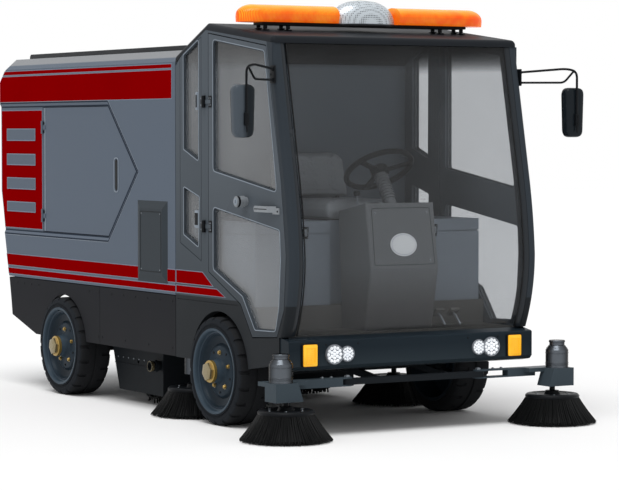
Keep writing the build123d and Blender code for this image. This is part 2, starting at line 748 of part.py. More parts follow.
# Doors, each one moulding as thick as the door, with two panes, a round lock and a lever handle.
door_names = {-1: "door_right", 1: "door_left"}
lock_y = -1375.0
lock_z = 1120.0
lock_radius = 27.0
lock_proud = 60.0
lever_rear = -1500.0
lever_front = -1704.0
lever_half = 15.0
lever_z = 1088.0
lever_wall = 8.0
lever_stand = 30.0
for side in (-1, 1):
    face = side * half_width
    back = side * (half_width - door_wall)
    pane_x = side * (half_width - glass_set_back)
    with BuildPart() as door:
        add(side_prism(door_rows, face, back))
        for rows in (door_upper, door_lower):
            add(side_prism(rows, face + side, back - side, radius=pane_corner), mode=Mode.SUBTRACT)
        for z in door_hinge_rows:
            add(door_hinge(side, z)[0])
    save(door, door_names[side])
    with BuildPart() as door_glass:
        for rows in (door_upper, door_lower):
            add(side_prism(rows, pane_x - glass_wall / 2, pane_x + glass_wall / 2, grow=-fit_gap,
                           radius=pane_corner))
    save(door_glass, door_names[side].replace("door", "door_glass"))
    with BuildPart() as door_handle:
        # The lock's barrel, narrower at its root, and the lever: a foot on the door and a blade off it.
        add(cross_disc(*span(face, face + side * lock_proud), lock_y, lock_z, lock_radius - 5))
        add(cross_disc(*span(face + side * 14, face + side * (lock_proud - 4)), lock_y, lock_z, lock_radius))
        add(block(face, face + side * lever_wall, lever_front, lever_front + 60,
                  lever_z - lever_half - 8, lever_z + lever_half - 8))
        with BuildSketch(Plane.XY.offset(lever_z - lever_half)):
            with BuildLine():
                y0, y1, y2 = (lever_front + 42 + y_datum, lever_front + 74 + y_datum, lever_rear + y_datum)
                near, far = (face + side * lever_wall * 0.5, face + side * lever_stand)
                Polyline((near, y0), (far - side * lever_wall, y1), (far - side * lever_wall, y2),
                         (far, y2), (far, y1 - 4), (near, y0 - lever_wall * 1.4), close=True)
            make_face()
        extrude(amount=2 * lever_half)
        blade_end = door_handle.edges().filter_by(Axis.X).filter_by(
            lambda e: e.center().Y > lever_rear + y_datum - 1)
        fillet(blade_end, lever_half * 0.8)
    save(door_handle, door_names[side].replace("door", "door_handle"))

# Cab floor with its toe board, and the rear wall with its window.
inner_half = half_width - side_wall
toe_y = -1404.0
toe_wall = 15.0
floor_front = -1690.0
with BuildPart() as cab_floor:
    add(block(-inner_half, inner_half, floor_front, toe_y, floor_z - floor_wall, floor_z))
    add(block(-inner_half, inner_half, toe_y, toe_y + toe_wall, floor_z - floor_wall, seat_box_bottom))
    add(block(-inner_half, inner_half, toe_y, rear_wall_y, cab_deck_low, seat_box_bottom))
save(cab_floor, "cab_floor")

with BuildPart() as cab_rear_wall:
    add(block(-inner_half, inner_half, rear_wall_y, rear_wall_y + rear_wall_wall, seat_box_bottom, rear_wall_top))
    add(block(-rear_pane_half, rear_pane_half, rear_wall_y - 1, rear_wall_y + rear_wall_wall + 1,
              rear_pane_low, rear_pane_high), mode=Mode.SUBTRACT)
save(cab_rear_wall, "cab_rear_wall")

# Seat box: two lidded lockers with the lower seat stand between them.
lid_z = 955.0
lid_half = 3.0
lid_depth = 6.0
box_side_gap = 8.0
seat_half = 225.0
stand_front = -1300.0
with BuildPart() as seat_box:
    outer = inner_half - box_side_gap
    for side in (-1, 1):
        add(block(side * seat_box_inner, side * outer, seat_box_front, rear_wall_y - fit_gap,
                  seat_box_bottom, seat_box_top))
        # The lid's line runs round the front and the inner side.
        add(block(side * seat_box_inner - side * 1, side * outer, seat_box_front - 1, seat_box_front + lid_depth,
                  lid_z - lid_half, lid_z + lid_half), mode=Mode.SUBTRACT)
        add(block(side * outer, side * (outer - lid_depth), seat_box_front - 1, -900,
                  lid_z - lid_half, lid_z + lid_half), mode=Mode.SUBTRACT)
    add(block(-seat_box_inner, seat_box_inner, stand_front, rear_wall_y - fit_gap, seat_box_bottom, seat_box_top))
save(seat_box, "seat_box")

cushion_y = -1085.0
cushion_depth = 480.0
cushion_height = 104.0
with BuildPart() as seat_cushion:
    with Locations((0, cushion_y + y_datum, seat_box_top + fit_gap + cushion_height / 2)):
        Box(2 * seat_half, cushion_depth, cushion_height)
    fillet(seat_cushion.edges().filter_by(Axis.Z), 60)
    fillet(seat_cushion.faces().sort_by(Axis.Z)[-1].edges(), 30)
save(seat_cushion, "seat_cushion")

back_top = 1366.0
back_corner = 70.0
with BuildPart() as seat_back:
    foot_z = seat_box_top + fit_gap
    with BuildSketch(Plane.YZ.offset(-seat_half)):
        with BuildLine():
            Polyline(*placed([(-842, foot_z), (-722, foot_z), (-692, back_top - 14),
                              (-706, back_top), (-762, back_top), (-790, back_top - 26)]), close=True)
        make_face()
    extrude(amount=2 * seat_half)
    # The upper corners are rounded by cutting with a rounded front outline.
    with BuildPart(mode=Mode.PRIVATE) as outline:
        with BuildSketch(Plane.XZ.offset(-(-600 + y_datum))):
            with Locations((0, (foot_z - back_corner + back_top) / 2)):
                RectangleRounded(2 * seat_half, back_top - foot_z + back_corner, back_corner)
        extrude(amount=300)
    add(outline.part, mode=Mode.INTERSECT)
save(seat_back, "seat_back")

# Console: a leaning pedestal with its column, and the steering wheel on it.
console_half = 198.0
console_round = 12.0
console_rows = [(-1643, floor_z), (-1430, floor_z), (-1395, 1065), (-1650, 1110), (-1700, 790)]
wheel_tilt = 33.0
wheel_y = -1455.0
wheel_z = 1272.0
wheel_ring = 168.0
wheel_grip = 14.0
hub_low = 30.0
hub_high = 4.0
wheel_hub = 46.0
column_pin = 12.0
column_radius = 30.0
column_length = 215.0
boot_rings = 9
boot_pitch = 16.0
down = (0.0, -sin(radians(wheel_tilt)), -cos(radians(wheel_tilt)))


def along_column(distance):
    """The point that far down the steering column from the wheel's centre."""
    return (0.0, wheel_y + distance * down[1], wheel_z + distance * down[2])


with BuildPart() as console:
    add(side_prism(console_rows, -console_half, console_half))
    fillet(console.edges().filter_by(lambda e: abs(abs(e.center().X) - console_half) < 1
                                     and e.center().Y < y_datum - 1640), console_round)
    add(rod(along_column(hub_low + fit_gap), along_column(column_length), column_radius))
    for k in range(boot_rings):
        start = hub_low + 12 + k * boot_pitch
        add(rod(along_column(start), along_column(start + boot_pitch / 2), column_radius + 5))
    add(rod(along_column(10), along_column(column_length), column_pin))
save(console, "console")

wheel_plane = Plane(origin=(0, wheel_y + y_datum, wheel_z), x_dir=(1, 0, 0),
                    z_dir=(0, sin(radians(wheel_tilt)), cos(radians(wheel_tilt))))
spoke_width = 26.0
spoke_wall = 10.0
with BuildPart() as steering_wheel:
    with BuildSketch(Plane(origin=wheel_plane.origin + wheel_plane.x_dir * wheel_ring,
                           x_dir=wheel_plane.x_dir, z_dir=-wheel_plane.y_dir)):
        Circle(wheel_grip)
    revolve(axis=Axis(wheel_plane.origin, wheel_plane.z_dir))
    with BuildSketch(wheel_plane.offset(-hub_low)):
        Circle(wheel_hub)
    extrude(amount=hub_low + hub_high)
    with BuildSketch(wheel_plane.offset(-spoke_wall - 8)):
        with PolarLocations(0, 3, start_angle=90):
            with Locations((wheel_ring / 2, 0)):
                Rectangle(wheel_ring, spoke_width)
    extrude(amount=spoke_wall)
    with BuildSketch(wheel_plane.offset(-hub_low)):
        Circle(column_pin + pin_play)
    extrude(amount=hub_low - 8, mode=Mode.SUBTRACT)
save(steering_wheel, "steering_wheel")

# Bumper: a bevelled box, with markers and round lamps on its face.
bumper_y = -1776.0
bumper_back = -1697.0
bumper_low = 321.0
bumper_high = 463.0
bumper_half = half_width - 5.0
bumper_bevel = 18.0
bumper_rows = [(bumper_y, bumper_low + bumper_bevel), (bumper_y, bumper_high - 6), (bumper_y + 6, bumper_high),
               (bumper_back, bumper_high + 13), (bumper_back, bumper_low - 10),
               (bumper_y + bumper_bevel, bumper_low)]
with BuildPart() as bumper:
    add(side_prism(bumper_rows, -bumper_half, bumper_half))
save(bumper, "bumper")

marker_low = 333.0
marker_high = 446.0
marker_proud = 20.0
marker_x = 594.0
marker_half = 47.0
with BuildPart() as amber_markers:
    for side in (-1, 1):
        add(block(side * marker_x - marker_half, side * marker_x + marker_half,
                  bumper_y - marker_proud, bumper_y, max(marker_low, bumper_low + bumper_bevel), marker_high))
    lens_edges = amber_markers.faces().sort_by(Axis.Y)[:2].edges()
    fillet(lens_edges, 8)
save(amber_markers, "amber_markers")

lamp_rows = [(456, 46), (374, 34)]
lamp_z = 392.0
with BuildPart() as round_lamps:
    for x, radius in lamp_rows:
        for side in (-1, 1):
            add(rod((side * x, bumper_y, lamp_z), (side * x, bumper_y - lamp_proud, lamp_z), radius))
save(round_lamps, "round_lamps")

# Beacon bar on four straps above the sloping roof.
beacon_y = -1292.0
beacon_lift = 28.0
beacon_low = roof_z(beacon_y) + beacon_lift
beacon_height = 97.0
beacon_high = beacon_low + beacon_height
beacon_half = half_width + 6.0
beacon_depth = 170.0
dome_half = 177.0
dome_rise = 32.0
dome_top = beacon_high + dome_rise
dome_deep = 12.0
tray_wall = 8.0
tray_drop = 6.0
tray_half_y = 50.0
foot_rows = [577, 448]
foot_half_x = 12.0
foot_half_y = 45.0
end_round = beacon_depth / 2


def lens_solid(x0, x1, low, high, half_depth):
    """A lens between two cross positions: an arched section, its outer end rounded in plan and in front view."""
    side = 1 if x1 > x0 else -1
    centre = beacon_y + y_datum
    with BuildPart() as solid:
        with BuildSketch(Plane.YZ.offset(min(x0, x1))):
            with BuildLine():
                shoulder = low + (high - low) * 0.45
                Polyline((centre + half_depth, shoulder), (centre + half_depth - 10, low),
                         (centre - half_depth + 10, low), (centre - half_depth, shoulder))
                ThreePointArc((centre - half_depth, shoulder), (centre, high), (centre + half_depth, shoulder))
            make_face()
        extrude(amount=abs(x1 - x0))
        with BuildPart(mode=Mode.PRIVATE) as plan:
            with BuildSketch(Plane.XY.offset(low - 1)):
                with Locations(((x0 + x1) / 2 - side * half_depth, centre)):
                    Rectangle(abs(x1 - x0), 2 * half_depth)
                with Locations((x1 - side * half_depth, centre)):
                    Circle(half_depth)
            extrude(amount=high - low + 2)
        add(plan.part, mode=Mode.INTERSECT)
        top_edges = solid.edges().filter_by(lambda e: abs(e.center().X - x1) < half_depth)
    return solid.part


with BuildPart() as beacon_base:
    with BuildSketch(Plane.YZ.offset(-dome_half)):
        with Locations((beacon_y + y_datum, (beacon_low + dome_top) / 2)):
            Ellipse(beacon_depth / 2 + dome_deep, (dome_top - beacon_low) / 2)
    extrude(amount=2 * dome_half)
    # The dome's ends are rounded in plan.
    with BuildPart(mode=Mode.PRIVATE) as plan:
        with BuildSketch(Plane.XY.offset(beacon_low - 1)):
            with Locations((0, beacon_y + y_datum)):
                Ellipse(dome_half * 1.18, beacon_depth / 2 + dome_deep + 6)
        extrude(amount=dome_top - beacon_low + 2)
    add(plan.part, mode=Mode.INTERSECT)
    add(block(-foot_rows[0] - 14, foot_rows[0] + 14, beacon_y - tray_half_y, beacon_y + tray_half_y,
              beacon_low - tray_drop, beacon_low + tray_wall))
    for x in foot_rows:
        for side in (-1, 1):
            rows = [(beacon_y - foot_half_y, roof_z(beacon_y - foot_half_y)),
                    (beacon_y + foot_half_y, roof_z(beacon_y + foot_half_y)),
                    (beacon_y + foot_half_y - 12, beacon_low), (beacon_y - foot_half_y + 12, beacon_low)]
            add(side_prism(rows, side * x - foot_half_x, side * x + foot_half_x))
save(beacon_base, "beacon_base")

with BuildPart() as beacon_lenses:
    for side in (-1, 1):
        add(lens_solid(side * (dome_half + fit_gap), side * beacon_half, beacon_low + tray_wall + fit_gap,
                       beacon_high, beacon_depth / 2))
save(beacon_lenses, "beacon_lenses")

# Mirrors on two-rod arms that reach out and forward from the A pillars.
mirror_x = half_width + 243.0
mirror_y = -1780.0
mirror_low = 1430.0
mirror_high = 1682.0
mirror_half = 58.0
mirror_half_depth = 24.0
mirror_corner = 24.0
mirror_rod = 6.0
rod_bend = 34.0
pad_wall = 8.0
pad_front = -1664.0
pad_rear = -1620.0
rod_y = mirror_y - mirror_half_depth - mirror_rod - 1
with BuildPart() as mirrors:
    for side in (-1, 1):
        x = side * mirror_x
        root = side * (half_width + pad_wall - 2)
        elbow = side * (mirror_x - 50)
        with BuildLine(mode=Mode.PRIVATE) as upper:
            FilletPolyline(*[(px, py + y_datum, pz) for px, py, pz in (
                (root, -1648, 1758), (elbow, rod_y + 20, 1776), (x, rod_y, 1730), (x, rod_y, 1496))],
                radius=rod_bend)
        with BuildLine(mode=Mode.PRIVATE) as lower:
            Polyline(*[(px, py + y_datum, pz) for px, py, pz in (
                (root, -1650, 1706), (elbow - side * 10, rod_y + 28, 1706), (elbow + side * 30, rod_y + 8, 1758))])
        for path in (upper, lower):
            start = path.wires()[0]
            with BuildSketch(Plane(origin=start @ 0, z_dir=start % 0)):
                Circle(mirror_rod)
            sweep(path=start, transition=Transition.ROUND)
        # The head, rounded all round, and the clamp that holds it on the rod.
        with BuildPart(mode=Mode.PRIVATE) as head:
            with BuildSketch(Plane.XZ.offset(-(mirror_y + mirror_half_depth + y_datum))):
                with Locations((x, (mirror_low + mirror_high) / 2)):
                    RectangleRounded(2 * mirror_half, mirror_high - mirror_low, mirror_corner)
            extrude(amount=2 * mirror_half_depth)
            fillet(head.faces().sort_by(Axis.Y)[0].edges(), mirror_corner * 0.6)
        add(head.part)
        add(block(x - 12, x + 12, rod_y - 9, mirror_y, 1488, 1548))
        face = side * half_width
        add(block(face, face + side * pad_wall, pad_front, pad_rear, 1690, 1775))
save(mirrors, "mirrors")

# Front brush frame: a cross bar on two lift links, round at the ends where the swing arms fork it.
bar_y = -1775.0
bar_z = 258.0
bar_half_y = 30.0
bar_half_z = 14.0
swing_x = 380.0
pin_radius = 12.0
with BuildPart() as brush_lift:
    add(block(-swing_x, swing_x, bar_y - bar_half_y, bar_y + bar_half_y, bar_z - bar_half_z, bar_z + bar_half_z))
    for side in (-1, 1):
        x = side * swing_x
        add(rod((x, bar_y, bar_z - bar_half_z), (x, bar_y, bar_z + bar_half_z), bar_half_y))
        link_rows = [(lift_y, lift_z - 20), (lift_y, lift_z + 20), (bar_y, bar_z + bar_half_z),
                     (bar_y, bar_z - bar_half_z)]
        add(side_prism(link_rows, side * lift_x - lift_wall / 2, side * lift_x + lift_wall / 2))
        add(cross_disc(side * lift_x - lift_wall / 2, side * lift_x + lift_wall / 2, lift_y, lift_z, lift_eye))
    for side in (-1, 1):
        x = side * swing_x
        add(rod((x, bar_y, bar_z - bar_half_z - 1), (x, bar_y, bar_z + bar_half_z + 1), pin_radius + pin_play),
            mode=Mode.SUBTRACT)
        add(cross_disc(side * lift_x - lift_wall, side * lift_x + lift_wall, lift_y, lift_z, lift_pin + pin_play),
            mode=Mode.SUBTRACT)
save(brush_lift, "brush_lift")

# Swing arms: two plates that fork the bar's end, a block, and the folded bracket of the brush motor.
arm_names = {-1: "brush_arm_right", 1: "brush_arm_left"}
motor_names = {-1: "brush_motor_right", 1: "brush_motor_left"}
window_names = {-1: False, 1: True}
plate_wall = 7.0
plate_half = 24.0
plate_low = bar_z - bar_half_z - fit_gap - plate_wall
plate_high = bar_z + bar_half_z + fit_gap + plate_wall
arm_fill = swing_x + bar_half_y + 8
arm_block = swing_x + 165.0
arm_end = front_brush_x - 60.0
shaft_radius = 14.0
motor_x = front_brush_x + 28.0
motor_radius = 57.0
motor_high = 368.0
cap_radius = 38.0
cap_high = 416.0
bracket_low = 190.0
bracket_half = 61.0
bracket_front = front_brush_y - 60.0
bracket_back = front_brush_y + 45.0
bracket_flare = 28.0
for side in (-1, 1):
    x = side * swing_x
    with BuildPart() as brush_arm:
        for low in (plate_low, plate_high - plate_wall):
            add(rod((x, bar_y, low), (x, bar_y, low + plate_wall), plate_half))
            add(block(x, side * arm_block, bar_y - plate_half, bar_y + plate_half, low, low + plate_wall))
        add(rod((x, bar_y, plate_low), (x, bar_y, plate_high), pin_radius))
        fill_x = arm_block if window_names[side] else arm_fill
        add(block(side * fill_x, side * arm_end, bar_y - plate_half, bar_y + plate_half, plate_low, plate_high))
        # A web runs forward to the bracket, a box that flares towards the machine.
        add(block(side * (arm_end - 70), side * (motor_x + bracket_half), bracket_back - 30, bar_y + plate_half,
                  plate_high - 20, plate_high))
        with BuildSketch(Plane.XZ.offset(-(bracket_back + y_datum))):
            with BuildLine():
                inner, outer = side * (motor_x - bracket_half), side * (motor_x + bracket_half)
                Polyline((inner, plate_high), (outer, plate_high), (outer, bracket_low),
                         (inner - side * bracket_flare, bracket_low), close=True)
            make_face()
        extrude(amount=bracket_back - bracket_front)
        sx = side * front_brush_x
        add(rod((sx, front_brush_y, bracket_low - 1), (sx, front_brush_y, shaft_top + fit_gap),
                shaft_radius + pin_play), mode=Mode.SUBTRACT)
    save(brush_arm, arm_names[side])
    with BuildPart() as brush_motor:
        profile = [(0, plate_high), (motor_radius, plate_high), (motor_radius, motor_high),
                   (cap_radius + 4, motor_high + 22), (cap_radius, motor_high + 24), (cap_radius, cap_high - 12),
                   (cap_radius + 3, cap_high - 10), (cap_radius + 3, cap_high - 3), (cap_radius, cap_high), (0, cap_high)]
        add(turned(profile, side * motor_x, front_brush_y))
    save(brush_motor, motor_names[side])


disc_share = 0.59
disc_wall = 14.0
bristle_lip = 16.0


def brush_rows(radius):
    """Half section of a flared disc brush, bristle tips at brush_clear, with its thick disc and boss on top."""
    disc = radius * disc_share
    return [(0, brush_top + 4), (disc - 8, brush_top + 4), (disc, brush_top - 4), (disc, brush_top - disc_wall),
            (radius, brush_clear + bristle_lip), (radius - 4, brush_clear), (radius * 0.55, brush_clear),
            (radius * 0.3, brush_top - 40), (0, brush_top - 40)]


brush_table = [("front_brush_right", -front_brush_x, front_brush_y, front_brush_radius),
               ("front_brush_left", front_brush_x, front_brush_y, front_brush_radius),
               ("mid_brush_right", -mid_brush_x, mid_brush_y, mid_brush_radius),
               ("mid_brush_left", mid_brush_x, mid_brush_y, mid_brush_radius)]
for name, x, y, radius in brush_table:
    with BuildPart() as brush:
        add(turned(brush_rows(radius), x, y))
        add(rod((x, y, brush_top), (x, y, brush_top + 18), 34))
        add(rod((x, y, brush_top), (x, y, shaft_top), shaft_radius))
    save(brush, name)

# Carriers of the middle brushes: an arm from the rail and a motor over each brush.
carrier_wall = 30.0
carrier_radius = 50.0
with BuildPart() as mid_carriers:
    for side in (-1, 1):
        x = side * mid_brush_x
        add(block(side * rail_outer, x, mid_brush_y - 45, mid_brush_y + 45, rail_low, rail_low + carrier_wall))
        add(rod((x, mid_brush_y, rail_low), (x, mid_brush_y, rail_low + carrier_wall), 45))
        add(rod((x, mid_brush_y, 216), (x, mid_brush_y, rail_low), carrier_radius))
        add(rod((x, mid_brush_y, 215), (x, mid_brush_y, shaft_top + fit_gap), shaft_radius + pin_play),
            mode=Mode.SUBTRACT)
save(mid_carriers, "mid_carriers")

# Main roller in its housing, with the drain pipe on the housing's sides.
housing_wall = 8.0
housing_x = half_width - 122.0
roller_half = housing_x - roller_end_gap
roller_axle = 20.0
roller_z = roller_radius + brush_clear
housing_low = 62.0
housing_rows = [(-262, housing_low), (252, housing_low), (336, 300), (336, rail_low), (-262, rail_low)]
inner_rows = [(-262 + housing_wall, 0), (252 - housing_wall, 0), (336 - housing_wall, 300),
              (336 - housing_wall, rail_low - housing_wall), (-262 + housing_wall, rail_low - housing_wall)]
pipe_y = -224.0
pipe_z = 223.0
pipe_radius = 26.0
pipe_bore = 19.0
pipe_proud = 62.0
fold_z = 205.0
with BuildPart() as roller_housing:
    add(side_prism(housing_rows, -housing_x, housing_x))
    add(side_prism(inner_rows, -housing_x + housing_wall, housing_x - housing_wall), mode=Mode.SUBTRACT)
    add(cross_disc(-housing_x - 1, housing_x + 1, roller_y, roller_z, roller_axle + pin_play), mode=Mode.SUBTRACT)
    for side in (-1, 1):
        face = side * housing_x
        # A folded rib along the side plate, a sight hole, and the drain pipe's end with its clip.
        add(block(face, face + side * 4, -240, 300, fold_z - 2, fold_z + 2))
        add(cross_disc(*span(face + side, face - side * (housing_wall + 1)), 26, 228, 12), mode=Mode.SUBTRACT)
        add(cross_disc(*span(face, face + side * pipe_proud), pipe_y, pipe_z, pipe_radius))
        add(cross_disc(*span(face + side * 20, face + side * 34), pipe_y, pipe_z, pipe_radius + 6))
        add(cross_disc(*span(face + side * 10, face + side * (pipe_proud + 1)), pipe_y, pipe_z, pipe_bore),
            mode=Mode.SUBTRACT)
save(roller_housing, "roller_housing")

with BuildPart() as main_roller:
    add(cross_disc(-roller_half, roller_half, roller_y, roller_z, roller_radius))
    add(cross_disc(-housing_x, housing_x, roller_y, roller_z, roller_axle))
save(main_roller, "main_roller")

# Power pack between the rails behind the rear axle.
pack_half = rail_inner - 10.0
pack_front = 1000.0
pack_rear = 1260.0
pack_low = 300.0
with BuildPart() as power_pack:
    add(block(-pack_half, pack_half, pack_front, pack_rear, pack_low, body_bottom))
save(power_pack, "power_pack")
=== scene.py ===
import json
import random
from math import atan2, cos, exp, hypot, pi, radians, sin, sqrt, tan

import bmesh
import bpy
from mathutils import Matrix, Vector


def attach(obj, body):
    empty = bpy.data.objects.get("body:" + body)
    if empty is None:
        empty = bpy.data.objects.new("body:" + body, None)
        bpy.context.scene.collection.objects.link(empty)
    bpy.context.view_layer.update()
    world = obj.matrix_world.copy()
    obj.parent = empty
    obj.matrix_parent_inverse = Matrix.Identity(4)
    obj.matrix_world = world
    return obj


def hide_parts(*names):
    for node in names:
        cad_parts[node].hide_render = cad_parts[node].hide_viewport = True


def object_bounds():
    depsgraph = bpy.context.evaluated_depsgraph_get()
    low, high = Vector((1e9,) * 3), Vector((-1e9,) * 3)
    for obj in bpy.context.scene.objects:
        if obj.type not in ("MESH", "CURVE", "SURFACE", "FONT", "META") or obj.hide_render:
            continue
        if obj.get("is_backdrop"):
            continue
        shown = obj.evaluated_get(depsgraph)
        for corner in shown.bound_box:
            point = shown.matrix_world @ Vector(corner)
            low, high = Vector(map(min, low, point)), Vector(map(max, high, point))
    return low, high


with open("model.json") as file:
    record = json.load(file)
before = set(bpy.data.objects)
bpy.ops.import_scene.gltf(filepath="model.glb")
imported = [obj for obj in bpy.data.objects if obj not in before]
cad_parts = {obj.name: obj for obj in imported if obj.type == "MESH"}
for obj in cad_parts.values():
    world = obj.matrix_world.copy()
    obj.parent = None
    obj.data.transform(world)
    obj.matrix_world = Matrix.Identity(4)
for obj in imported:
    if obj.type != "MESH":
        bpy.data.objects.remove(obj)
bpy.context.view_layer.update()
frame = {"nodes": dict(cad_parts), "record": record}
nodes = frame["nodes"]
rng = random.Random(7)

# Places below are millimetres with y from a cross plane behind the cab, as in the solids' drawing.
Y_DATUM = 259.5
SIDES = ((-1, "right"), (1, "left"))


def at(x, y, z):
    return Vector((x / 1000, (y + Y_DATUM) / 1000, z / 1000))


def turns(count, start=0.0):
    """Angles that share a full turn evenly."""
    return [start + 2 * pi * k / count for k in range(count)]


# Materials
def srgb(r, g, b):
    """Linear colour from 8-bit display values."""
    shares = [c / 255 for c in (r, g, b)]
    return tuple(c / 12.92 if c <= 0.04045 else ((c + 0.055) / 1.055) ** 2.4 for c in shares) + (1,)


class Tree:
    """The node tree of a new material, or of the world, emptied and made short to write."""

    def __init__(self, name, world=None):
        self.owner = world or bpy.data.materials.new(name)
        self.owner.use_nodes = True
        self.nt = self.owner.node_tree
        self.nt.nodes.clear()
        self.out = self.node("OutputWorld" if world else "OutputMaterial")

    def node(self, kind, **values):
        """A shader node with plain values on its sockets, whose names have _ for a space."""
        n = self.nt.nodes.new("ShaderNode" + kind)
        for key, value in values.items():
            n.inputs[key.replace("_", " ")].default_value = value
        return n

    def link(self, a, b):
        self.nt.links.new(a, b)

    def feed(self, values, sockets):
        """Links or sets each value on its socket."""
        for value, socket in zip(values, sockets):
            if hasattr(value, "is_output"):
                self.link(value, socket)
            else:
                socket.default_value = value

    def finish(self, shader):
        """Makes a shader the surface and gives the finished material."""
        self.link(shader.outputs[0], self.out.inputs["Surface"])
        return self.owner

    def facing(self):
        return self.node("LayerWeight", Blend=0.5).outputs["Facing"]

    def relief(self, shader, height, strength):
        """Bump on a shader."""
        b = self.node("Bump", Strength=strength, Distance=0.001)
        self.link(height, b.inputs["Height"])
        self.link(b.outputs[0], shader.inputs["Normal"])
        return shader

    def place(self):
        return self.node("TexCoord").outputs["Object"]

    def noise(self, scale, detail=3.0, stretch=None):
        tex = self.node("TexNoise", Scale=scale, Detail=detail)
        source = self.place()
        if stretch:
            mapping = self.node("Mapping", Scale=stretch)
            self.link(source, mapping.inputs["Vector"])
            source = mapping.outputs[0]
        self.link(source, tex.inputs["Vector"])
        return tex.outputs["Fac"]

    def mix(self, factor, a, b):
        m = self.node("Mix")
        m.data_type = "RGBA"
        self.feed((factor, a, b), (m.inputs[0], m.inputs[6], m.inputs[7]))
        return m.outputs[2]

    def ramp(self, value, low, high, a=0.0, b=1.0):
        r = self.node("MapRange")
        self.feed((value, low, high, a, b), r.inputs)
        return r.outputs[0]

    def axis(self, letter):
        s = self.node("SeparateXYZ")
        self.link(self.place(), s.inputs[0])
        return s.outputs[letter]

    def math(self, op, a, b=0.0):
        m = self.node("Math")
        m.operation = op
        self.feed((a, b), m.inputs)
        return m.outputs[0]

    def high(self, low, high, a=0.0, b=1.0):
        """A value that runs from a to b between two heights in metres."""
        return self.ramp(self.axis("Z"), low, high, a, b)

    def off_middle(self, low, high, a=0.0, b=1.0):
        """A value that runs from a to b between two distances from the middle plane."""
        return self.ramp(self.math("ABSOLUTE", self.axis("X")), low, high, a, b)


def surface(name, color, rough, metal, grain, bump, vary, stretch=None, cloud=2.3, dust=0.0, spec=0.5,
            extra=None, rim=None):
    """Painted, moulded or metal finish: fine grain in bump, slow cloud in colour and roughness, dust low down,
    and on polished round forms a painted shade, darker where the surface turns away from view."""
    t = Tree(name)
    p = t.node("BsdfPrincipled", Metallic=metal, Specular_IOR_Level=spec)
    fine = t.noise(grain, 4.0, stretch)
    slow = t.noise(cloud, 4.0)
    dark = tuple(c * (1 - vary) for c in color[:3]) + (1,)
    light = tuple(min(1.0, c * (1 + vary)) for c in color[:3]) + (1,)
    tone = t.mix(t.ramp(slow, 0.3, 0.7), dark, light)
    tone = t.mix(t.ramp(fine, 0.35, 0.65, 0.0, 0.5), tone, dark)
    if dust:
        low = t.math("MULTIPLY", t.high(0.55, 0.02), t.ramp(slow, 0.35, 0.65, 0.3, 1.0))
        tone = t.mix(t.math("MULTIPLY", low, dust), tone, srgb(96, 92, 86))
    if extra:
        tone = extra(t, tone)
    # painted shade: darker where the surface turns away from view
    if rim:
        tone = t.mix(t.ramp(t.facing(), 0.08, 0.55), tone, rim)
    t.link(tone, p.inputs["Base Color"])
    t.link(t.ramp(slow, 0.3, 0.7, max(0.03, rough - 0.06), min(1.0, rough + 0.06)), p.inputs["Roughness"])
    return t.finish(t.relief(p, fine, bump))


def glass(name, tint):
    """Tinted sheet, darker along its top, with a little dust and a clear reflection over it."""
    t = Tree(name)
    clear = t.node("BsdfTransparent")
    gloss = t.node("BsdfGlossy", Roughness=0.03)
    share = t.ramp(t.math("POWER", t.facing(), 4.0), 0.0, 1.0, 0.014, 0.35)
    film = t.noise(1.7, 2.0)
    # the side panes have a brighter coating, uneven across each sheet
    sides = t.off_middle(0.66, 0.67)
    share = t.math("ADD", share, t.math("MULTIPLY", sides, t.ramp(film, 0.35, 0.65, 0.022, 0.055)))
    low = tuple(c * 0.97 for c in tint[:3]) + (1,)
    tone = t.mix(film, low, tint)
    tone = t.mix(t.high(1.76, 1.87), tone, srgb(120, 122, 124))
    # light on its way in isn't tinted, only what is seen through the sheet
    path = t.node("LightPath")
    way_in = t.math("MAXIMUM", path.outputs["Is Shadow Ray"], path.outputs["Is Diffuse Ray"])
    t.link(t.mix(way_in, tone, (1, 1, 1, 1)), clear.inputs["Color"])
    dust = t.node("BsdfDiffuse", Color=srgb(176, 180, 184))
    cover = t.math("ADD", t.ramp(t.noise(3.0, 3.0), 0.3, 0.7, 0.010, 0.024), t.math("MULTIPLY", sides, 0.08))
    haze = t.node("MixShader")
    t.feed((cover, clear.outputs[0], dust.outputs[0]), haze.inputs)
    m = t.node("MixShader")
    t.feed((share, haze.outputs[0], gloss.outputs[0]), m.inputs)
    return t.finish(m)


def lens(name, deep, light, pitch, glow, top_highlight=None):
    """Coloured lens with fine moulded ribs, a little lit from inside, painted highlights on their crests and
    on its top if given.
    """
    t = Tree(name)
    p = t.node("BsdfPrincipled", Roughness=0.18, Specular_IOR_Level=0.2, Emission_Strength=glow)
    wave = t.math("SINE", t.math("MULTIPLY", t.axis("X"), 2 * pi * 1000 / pitch))
    ridge = t.ramp(wave, -1.0, 1.0)
    cloud = t.noise(9.0, 2.0)
    tone = t.mix(t.math("MULTIPLY", ridge, t.ramp(cloud, 0.35, 0.65)), deep, light)
    # painted highlight along the top of the lens
    if top_highlight:
        tone = t.mix(t.high(2.045, 2.095, 0.0, 0.8), tone, top_highlight)
    t.link(tone, p.inputs["Base Color"])
    t.link(tone, p.inputs["Emission Color"])
    return t.finish(t.relief(p, ridge, 0.5))


def perforated(t, tone):
    """Rows of small dark holes over the dome, and a dark tray under it."""
    v = t.node("TexVoronoi", Scale=105.0, Randomness=0.0)
    t.link(t.place(), v.inputs["Vector"])
    hole = t.ramp(v.outputs["Distance"], 0.30, 0.36, 1.0, 0.0)
    tone = t.mix(t.math("MULTIPLY", hole, 0.85), tone, srgb(44, 50, 58))
    tray = t.math("MAXIMUM", t.off_middle(0.205, 0.208), t.high(1.993, 1.996, 1.0, 0.0))
    return t.mix(tray, tone, srgb(34, 36, 39))


def sidewall(t, tone):
    """The outer sidewall is a little lighter than the tread."""
    return t.mix(t.off_middle(0.731, 0.735), tone, srgb(34, 37, 41))


